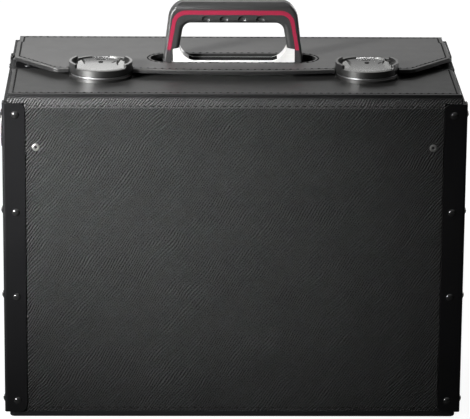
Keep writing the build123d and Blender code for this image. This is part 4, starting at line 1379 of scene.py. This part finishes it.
@dataclass
class KnobMarks:
    """Knobs with a centre dot, an arc at the rear and a slanted mark on the right, cut in and
    painted near-black as shade.
    """

    depth: float = 0.7 * MM
    dot_radius: float = 1.6 * MM
    arc_radius: float = 13.5 * MM
    arc_half_angle: float = 20.0
    arc_width: float = 4.0 * MM
    slant_width: float = 3.0 * MM
    slant_from: tuple[float, float] = (12.5 * MM, -0.5 * MM)
    slant_to: tuple[float, float] = (17.5 * MM, 5.0 * MM)
    upright: float = 0.3
    scoop_drop: float = 0.12 * MM
    scoop_inner: float = 8 * MM
    scoop_outer: float = 25 * MM

    def build(self) -> None:
        """Cuts the marks into both knobs."""
        for _, side in SIDES:
            node = f"{side}_knob"
            low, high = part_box(node)
            axis = (low + high) / 2
            data = frame["nodes"][node].data
            surface = BVHTree.FromPolygons(
                [v.co for v in data.vertices], [tuple(p.vertices) for p in data.polygons]
            )
            work = bmesh.new()
            arc = []
            for k in range(9):
                angle = radians(90 + self.arc_half_angle * (k / 4 - 1))
                arc.append((self.arc_radius * cos(angle), self.arc_radius * sin(angle)))
            slant = [self.slant_from, self.slant_to]
            for path, width in ((arc, self.arc_width), (slant, self.slant_width)):
                self._bar(work, surface, axis, path, width)
            top = self._level(surface, axis, 0.0, 0.0)
            place = Matrix.Translation((axis.x, axis.y, top))
            bmesh.ops.create_cone(
                work, cap_ends=True, segments=20, radius1=self.dot_radius,
                radius2=self.dot_radius, depth=2 * self.depth, matrix=place,
            )
            piece = show_cut(
                node, f"{side}_knob_crown", f"{side}_lock", work, Finishes.chrome, Finishes.recess_painted_shade
            )
            self._paint(piece.data, axis, top)

    def _paint(self, mesh: bpy.types.Mesh, axis: Vector, top: float) -> None:
        """Gives the upright faces and the two scoops darker finishes than the crown, as painted
        shade.

        Args:
            mesh: The knob's mesh.
            axis: The knob's middle.
            top: Height of the flat crown between the scoops.
        """
        first = len(mesh.materials)
        mesh.materials.append(Finishes.painted_shade_chrome.material())
        mesh.materials.append(Finishes.scoop_painted_shade.material())
        for face in mesh.polygons:
            away = (face.center - axis).to_2d().length
            sunk = face.center.z < top - self.scoop_drop
            if face.material_index == 0 and abs(face.normal.z) < self.upright:
                face.material_index = first
            elif face.material_index == 0 and sunk and self.scoop_inner < away < self.scoop_outer:
                face.material_index = first + 1

    @staticmethod
    def _level(surface: BVHTree, axis: Vector, x: float, y: float) -> float:
        """Height of the knob's face at a place on it.

        Args:
            surface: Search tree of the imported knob.
            axis: The knob's middle.
            x: Place across, from the middle.
            y: Place towards the rear, from the middle.

        Returns:
            The height.
        """
        hit = surface.ray_cast(Vector((axis.x + x, axis.y + y, 1.0)), Vector((0, 0, -1)))[0]
        return hit.z if hit else axis.z

    def _bar(
        self,
        work: bmesh.types.BMesh,
        surface: BVHTree,
        axis: Vector,
        path: list[tuple[float, float]],
        width: float,
    ) -> None:
        """Adds a closed bar along a path on the knob's face.

        Args:
            work: The mesh to add to.
            surface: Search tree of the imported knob.
            axis: The knob's middle.
            path: Places from the knob's middle.
            width: The bar's width.
        """
        rings = []
        for k, (x, y) in enumerate(path):
            ahead = Vector(path[min(k + 1, len(path) - 1)]) - Vector(path[max(k - 1, 0)])
            run = ahead.normalized()
            side = Vector((-run.y, run.x)) * (width / 2)
            level = self._level(surface, axis, x, y)
            corners = ((side, 1.5), (side, -1), (-side, -1), (-side, 1.5))
            rings.append(
                [
                    work.verts.new((axis.x + x + s.x, axis.y + y + s.y, level + rise * self.depth))
                    for s, rise in corners
                ]
            )
        for before, after in zip(rings, rings[1:]):
            for k in range(4):
                work.faces.new((before[k], before[(k + 1) % 4], after[(k + 1) % 4], after[k]))
        work.faces.new(rings[0][::-1])
        work.faces.new(rings[-1])
        bmesh.ops.recalc_face_normals(work, faces=work.faces)


def show_cut(
    node: str, name: str, body: str, work: bmesh.types.BMesh, skin: Finish, cut: Finish
) -> bpy.types.Object:
    """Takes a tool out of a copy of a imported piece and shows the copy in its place.

    Args:
        node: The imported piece.
        name: Name of the new piece.
        body: The body that it rides on.
        work: The tool's mesh, freed afterwards.
        skin: Finish of the piece.
        cut: Finish of the cut faces.

    Returns:
        The new piece.
    """
    tool_mesh = finished_mesh(work, name + "_tool", cut)
    mesh = merged_copy(node)
    mesh.materials.append(skin.material())
    piece = add_object(name, mesh)
    carve(piece, add_object(name + "_tool", tool_mesh))
    smooth_by_angle(piece.data, 30)
    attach(piece, body)
    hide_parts(node)
    LOG.info("%s: %d faces", name, len(piece.data.polygons))
    return piece


class Body:
    """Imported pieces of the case, dressed by their slots."""

    def dress(self) -> None:
        """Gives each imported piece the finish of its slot."""
        for name, piece in frame["nodes"].items():
            material = Finishes.by_node.get(name, Finishes.by_slot[SLOTS[name]]).material()
            if not piece.data.materials:
                piece.data.materials.append(material)
            for slot in piece.material_slots:
                slot.material = material
        LOG.info("dressed %d packed pieces", len(frame["nodes"]))

    def skins(self) -> None:
        """Covers the outer walls between the rails."""
        gap = 0.35 * MM
        rail_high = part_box("front_left_rail")[1]
        across = rail_high.x + gap
        along = rail_high.y + gap
        floor_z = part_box("front_wall")[0].z + 0.2 * MM
        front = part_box("front_hinge_strip")[0].z + 2 * MM
        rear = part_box("rear_hinge_strip")[0].z + 2 * MM
        side_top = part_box("left_side_panel")[1].z - 0.2 * MM
        wall_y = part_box("front_wall")[0].y
        left_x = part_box("left_side_panel")[0].x
        right_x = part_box("right_side_panel")[1].x
        for name, facing, start, top, plane, dimples in (
            ("front_skin", Facing.FRONT, across, front, wall_y, self._eyelets()),
            ("rear_skin", Facing.REAR, across, rear, -wall_y, []),
            ("left_skin", Facing.LEFT, along, side_top, left_x, []),
            ("right_skin", Facing.RIGHT, along, side_top, right_x, []),
        ):
            skin = PanelSkin(name, facing, (start, floor_z), (-start, top), plane, dimples=dimples)
            skin.build()

    @staticmethod
    def _eyelets() -> list[tuple[float, float]]:
        """Middles of the two hollow rivets, across and up."""
        low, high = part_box("front_eyelets")
        radius = (high.z - low.z) / 2
        z = (low.z + high.z) / 2
        return [(low.x + radius, z), (high.x - radius, z)]

    def seams(self) -> None:
        """Row of stitches along the foot of the front and rear skins."""
        low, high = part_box("front_wall")
        half = -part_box("front_left_rail")[1].x - 4 * MM
        for facing, y, name in ((Facing.FRONT, low.y, "front"), (Facing.REAR, -low.y, "rear")):
            out = facing.value[1] * 0.6 * MM
            z = low.z + 4.4 * MM
            ends = [Vector((-half, y + out, z)), Vector((half, y + out, z))]
            seam = Seam(f"{name}_foot_stitches", "case", facing, [resample(ends, 2 * MM)])
            seam.stitch()


@dataclass(frozen=True)
class Lamp:
    """One soft lamp, turned to a target: size in metres, power in watts, spread in degrees."""

    name: str
    place: tuple[float, float, float]
    target: tuple[float, float, float]
    size: tuple[float, float]
    power: float
    spread: float = 180.0
    reflected: bool = True

    def build(self) -> None:
        """Adds the lamp to the scene."""
        data = bpy.data.lights.new(self.name, "AREA")
        data.shape = "RECTANGLE"
        data.spread = radians(self.spread)
        data.size, data.size_y = self.size
        data.energy = self.power
        lamp = bpy.data.objects.new(self.name, data)
        lamp.visible_glossy = self.reflected
        lamp.location = self.place
        aim = Vector(self.target) - Vector(self.place)
        lamp.rotation_euler = aim.to_track_quat("-Z", "Y").to_euler()
        bpy.context.scene.collection.objects.link(lamp)


LAMPS = (
    Lamp("key", (-1.2, -1.0, 0.72), (-0.27, -0.11, 0.33), (0.4, 0.4), 3.3, 20),
    Lamp("top", (-0.1, 1.5, 1.8), (-0.05, 0, 0.35), (1.6, 0.9), 14.0),
    Lamp("sheen", (-0.42, 0.95, 0.85), (-0.2, 0, 0.35), (0.8, 0.5), 0.9),
    Lamp("fill", (1.0, -2.2, 1.0), (0.1, 0, 0.3), (0.5, 1.2), 0.3),
    Lamp("right", (1.9, 1.5, 0.2), (0.2, 0, 0.2), (0.8, 0.3), 9.0),
    Lamp("left", (-1.9, 1.5, 0.2), (-0.2, 0, 0.2), (0.8, 0.3), 9.0),
    Lamp("rear", (0.4, 2.6, 0.2), (0, 0.1, 0.2), (1.2, 0.3), 9.0),
    Lamp("snoot", (0.3, -2.0, 1.15), (0, 0, 0.38), (0.12, 0.12), 0.022, 9, reflected=False),
)


@dataclass
class Studio:
    """Floor, world, lamps and the camera of the photograph."""

    camera_place: tuple[float, float, float] = (-71.5 * MM, -3350.9 * MM, 1150.7 * MM)
    pitch: float = 15.962
    yaw: float = 1.276
    roll: float = 0.475
    focal_pixels: float = 3319.8
    sensor: float = 36.0
    floor_dark: Colour = (0.16, 0.16, 0.16)
    floor_pale: Colour = (0.86, 0.86, 0.86)
    floor_glow: float = 1.25
    floor_glow_share: float = 0.74
    soft_light: float = 0.08

    def build(self) -> None:
        """Makes the whole studio."""
        self._camera()
        self._floor()
        self._world()
        for lamp in LAMPS:
            lamp.build()
        LOG.info("studio with %d lamps", len(LAMPS))
        bpy.context.scene.view_settings.view_transform = "Standard"

    def _camera(self) -> None:
        """Camera at the photograph's viewing angle."""
        yaw, pitch, roll = radians(self.yaw), radians(self.pitch), radians(self.roll)
        ahead = Vector((sin(yaw) * cos(pitch), cos(yaw) * cos(pitch), -sin(pitch)))
        right = Vector((cos(yaw), -sin(yaw), 0))
        up = right.cross(ahead)
        turned_right = cos(roll) * right + sin(roll) * up
        turned_up = cos(roll) * up - sin(roll) * right
        data = bpy.data.cameras.new("camera")
        data.sensor_width = self.sensor
        data.lens = self.focal_pixels * self.sensor / PHOTO_WIDTH
        data.clip_end = 50
        camera = bpy.data.objects.new("camera", data)
        turn = Matrix((turned_right, turned_up, -ahead)).transposed().to_4x4()
        camera.matrix_world = Matrix.Translation(self.camera_place) @ turn
        bpy.context.scene.collection.objects.link(camera)
        bpy.context.scene.camera = camera

    def _floor(self) -> None:
        """Pale floor that keeps the case's shadow and else shows as white."""
        work = bmesh.new()
        bmesh.ops.create_grid(work, x_segments=1, y_segments=1, size=8)
        mesh = finished_mesh(work, "floor")
        made = bpy.data.materials.new("white_floor")
        tree = ShaderTree(made)
        ray = tree.node("ShaderNodeLightPath", output="Is Camera Ray")
        tint = tree.mix(ray, self.floor_dark, self.floor_pale)
        matt = tree.node("ShaderNodeBsdfDiffuse", {}, {"Color": tint})
        glow = {"Color": (1, 1, 1, 1), "Strength": self.floor_glow}
        bright = tree.node("ShaderNodeEmission", {}, glow)
        share = ray * self.floor_glow_share
        both = tree.node("ShaderNodeMixShader", {}, {0: share, 1: matt, 2: bright})
        tree.node("ShaderNodeOutputMaterial", {}, {"Surface": both})
        mesh.materials.append(made)
        add_object("floor", mesh)

    def _world(self) -> None:
        """White background for the camera and for reflections, soft grey light for the rest."""
        world = bpy.data.worlds.new("studio")
        bpy.context.scene.world = world
        tree = ShaderTree(world)
        camera = tree.node("ShaderNodeLightPath", output="Is Camera Ray")
        path = camera.socket.node
        glossy = Wire(tree, path.outputs["Is Glossy Ray"])
        through = Wire(tree, path.outputs["Is Transmission Ray"])
        direction = tree.node("ShaderNodeTexCoord", output="Generated")
        x, y, z = tree.split(direction)
        box = ((y * 0.5 + z * 1.6 - 0.35) * 1.2).clamped() * (0.8 - 0.5 * x).clamped()
        band = (1.0 - abs(x + 0.42) * 6.0).clamped() * (y < 0.0) * 0.8
        box = box.top(band)
        shown = camera.top(through)
        unseen = glossy * (0.02 + box * 0.8) + (1 - glossy) * self.soft_light
        strength = shown + (1 - shown) * unseen
        white = tree.node("ShaderNodeBackground", {}, {"Color": (1, 1, 1, 1), "Strength": strength})
        tree.node("ShaderNodeOutputWorld", {}, {"Surface": white})


def main() -> None:
    """Builds the dressed case and its studio, piece by piece."""
    logging.basicConfig(level=logging.INFO, format="%(name)s: %(message)s")
    body = Body()
    body.dress()
    body.skins()
    body.seams()
    TopLeather().build()
    Grip().build()
    KnobMarks().build()
    HingeLeather("front_hinge_strip", "flap", Facing.FRONT).build()
    HingeLeather("rear_hinge_strip", "lid", Facing.REAR).build()
    Studio().build()


if __name__ == "__main__":
    main()
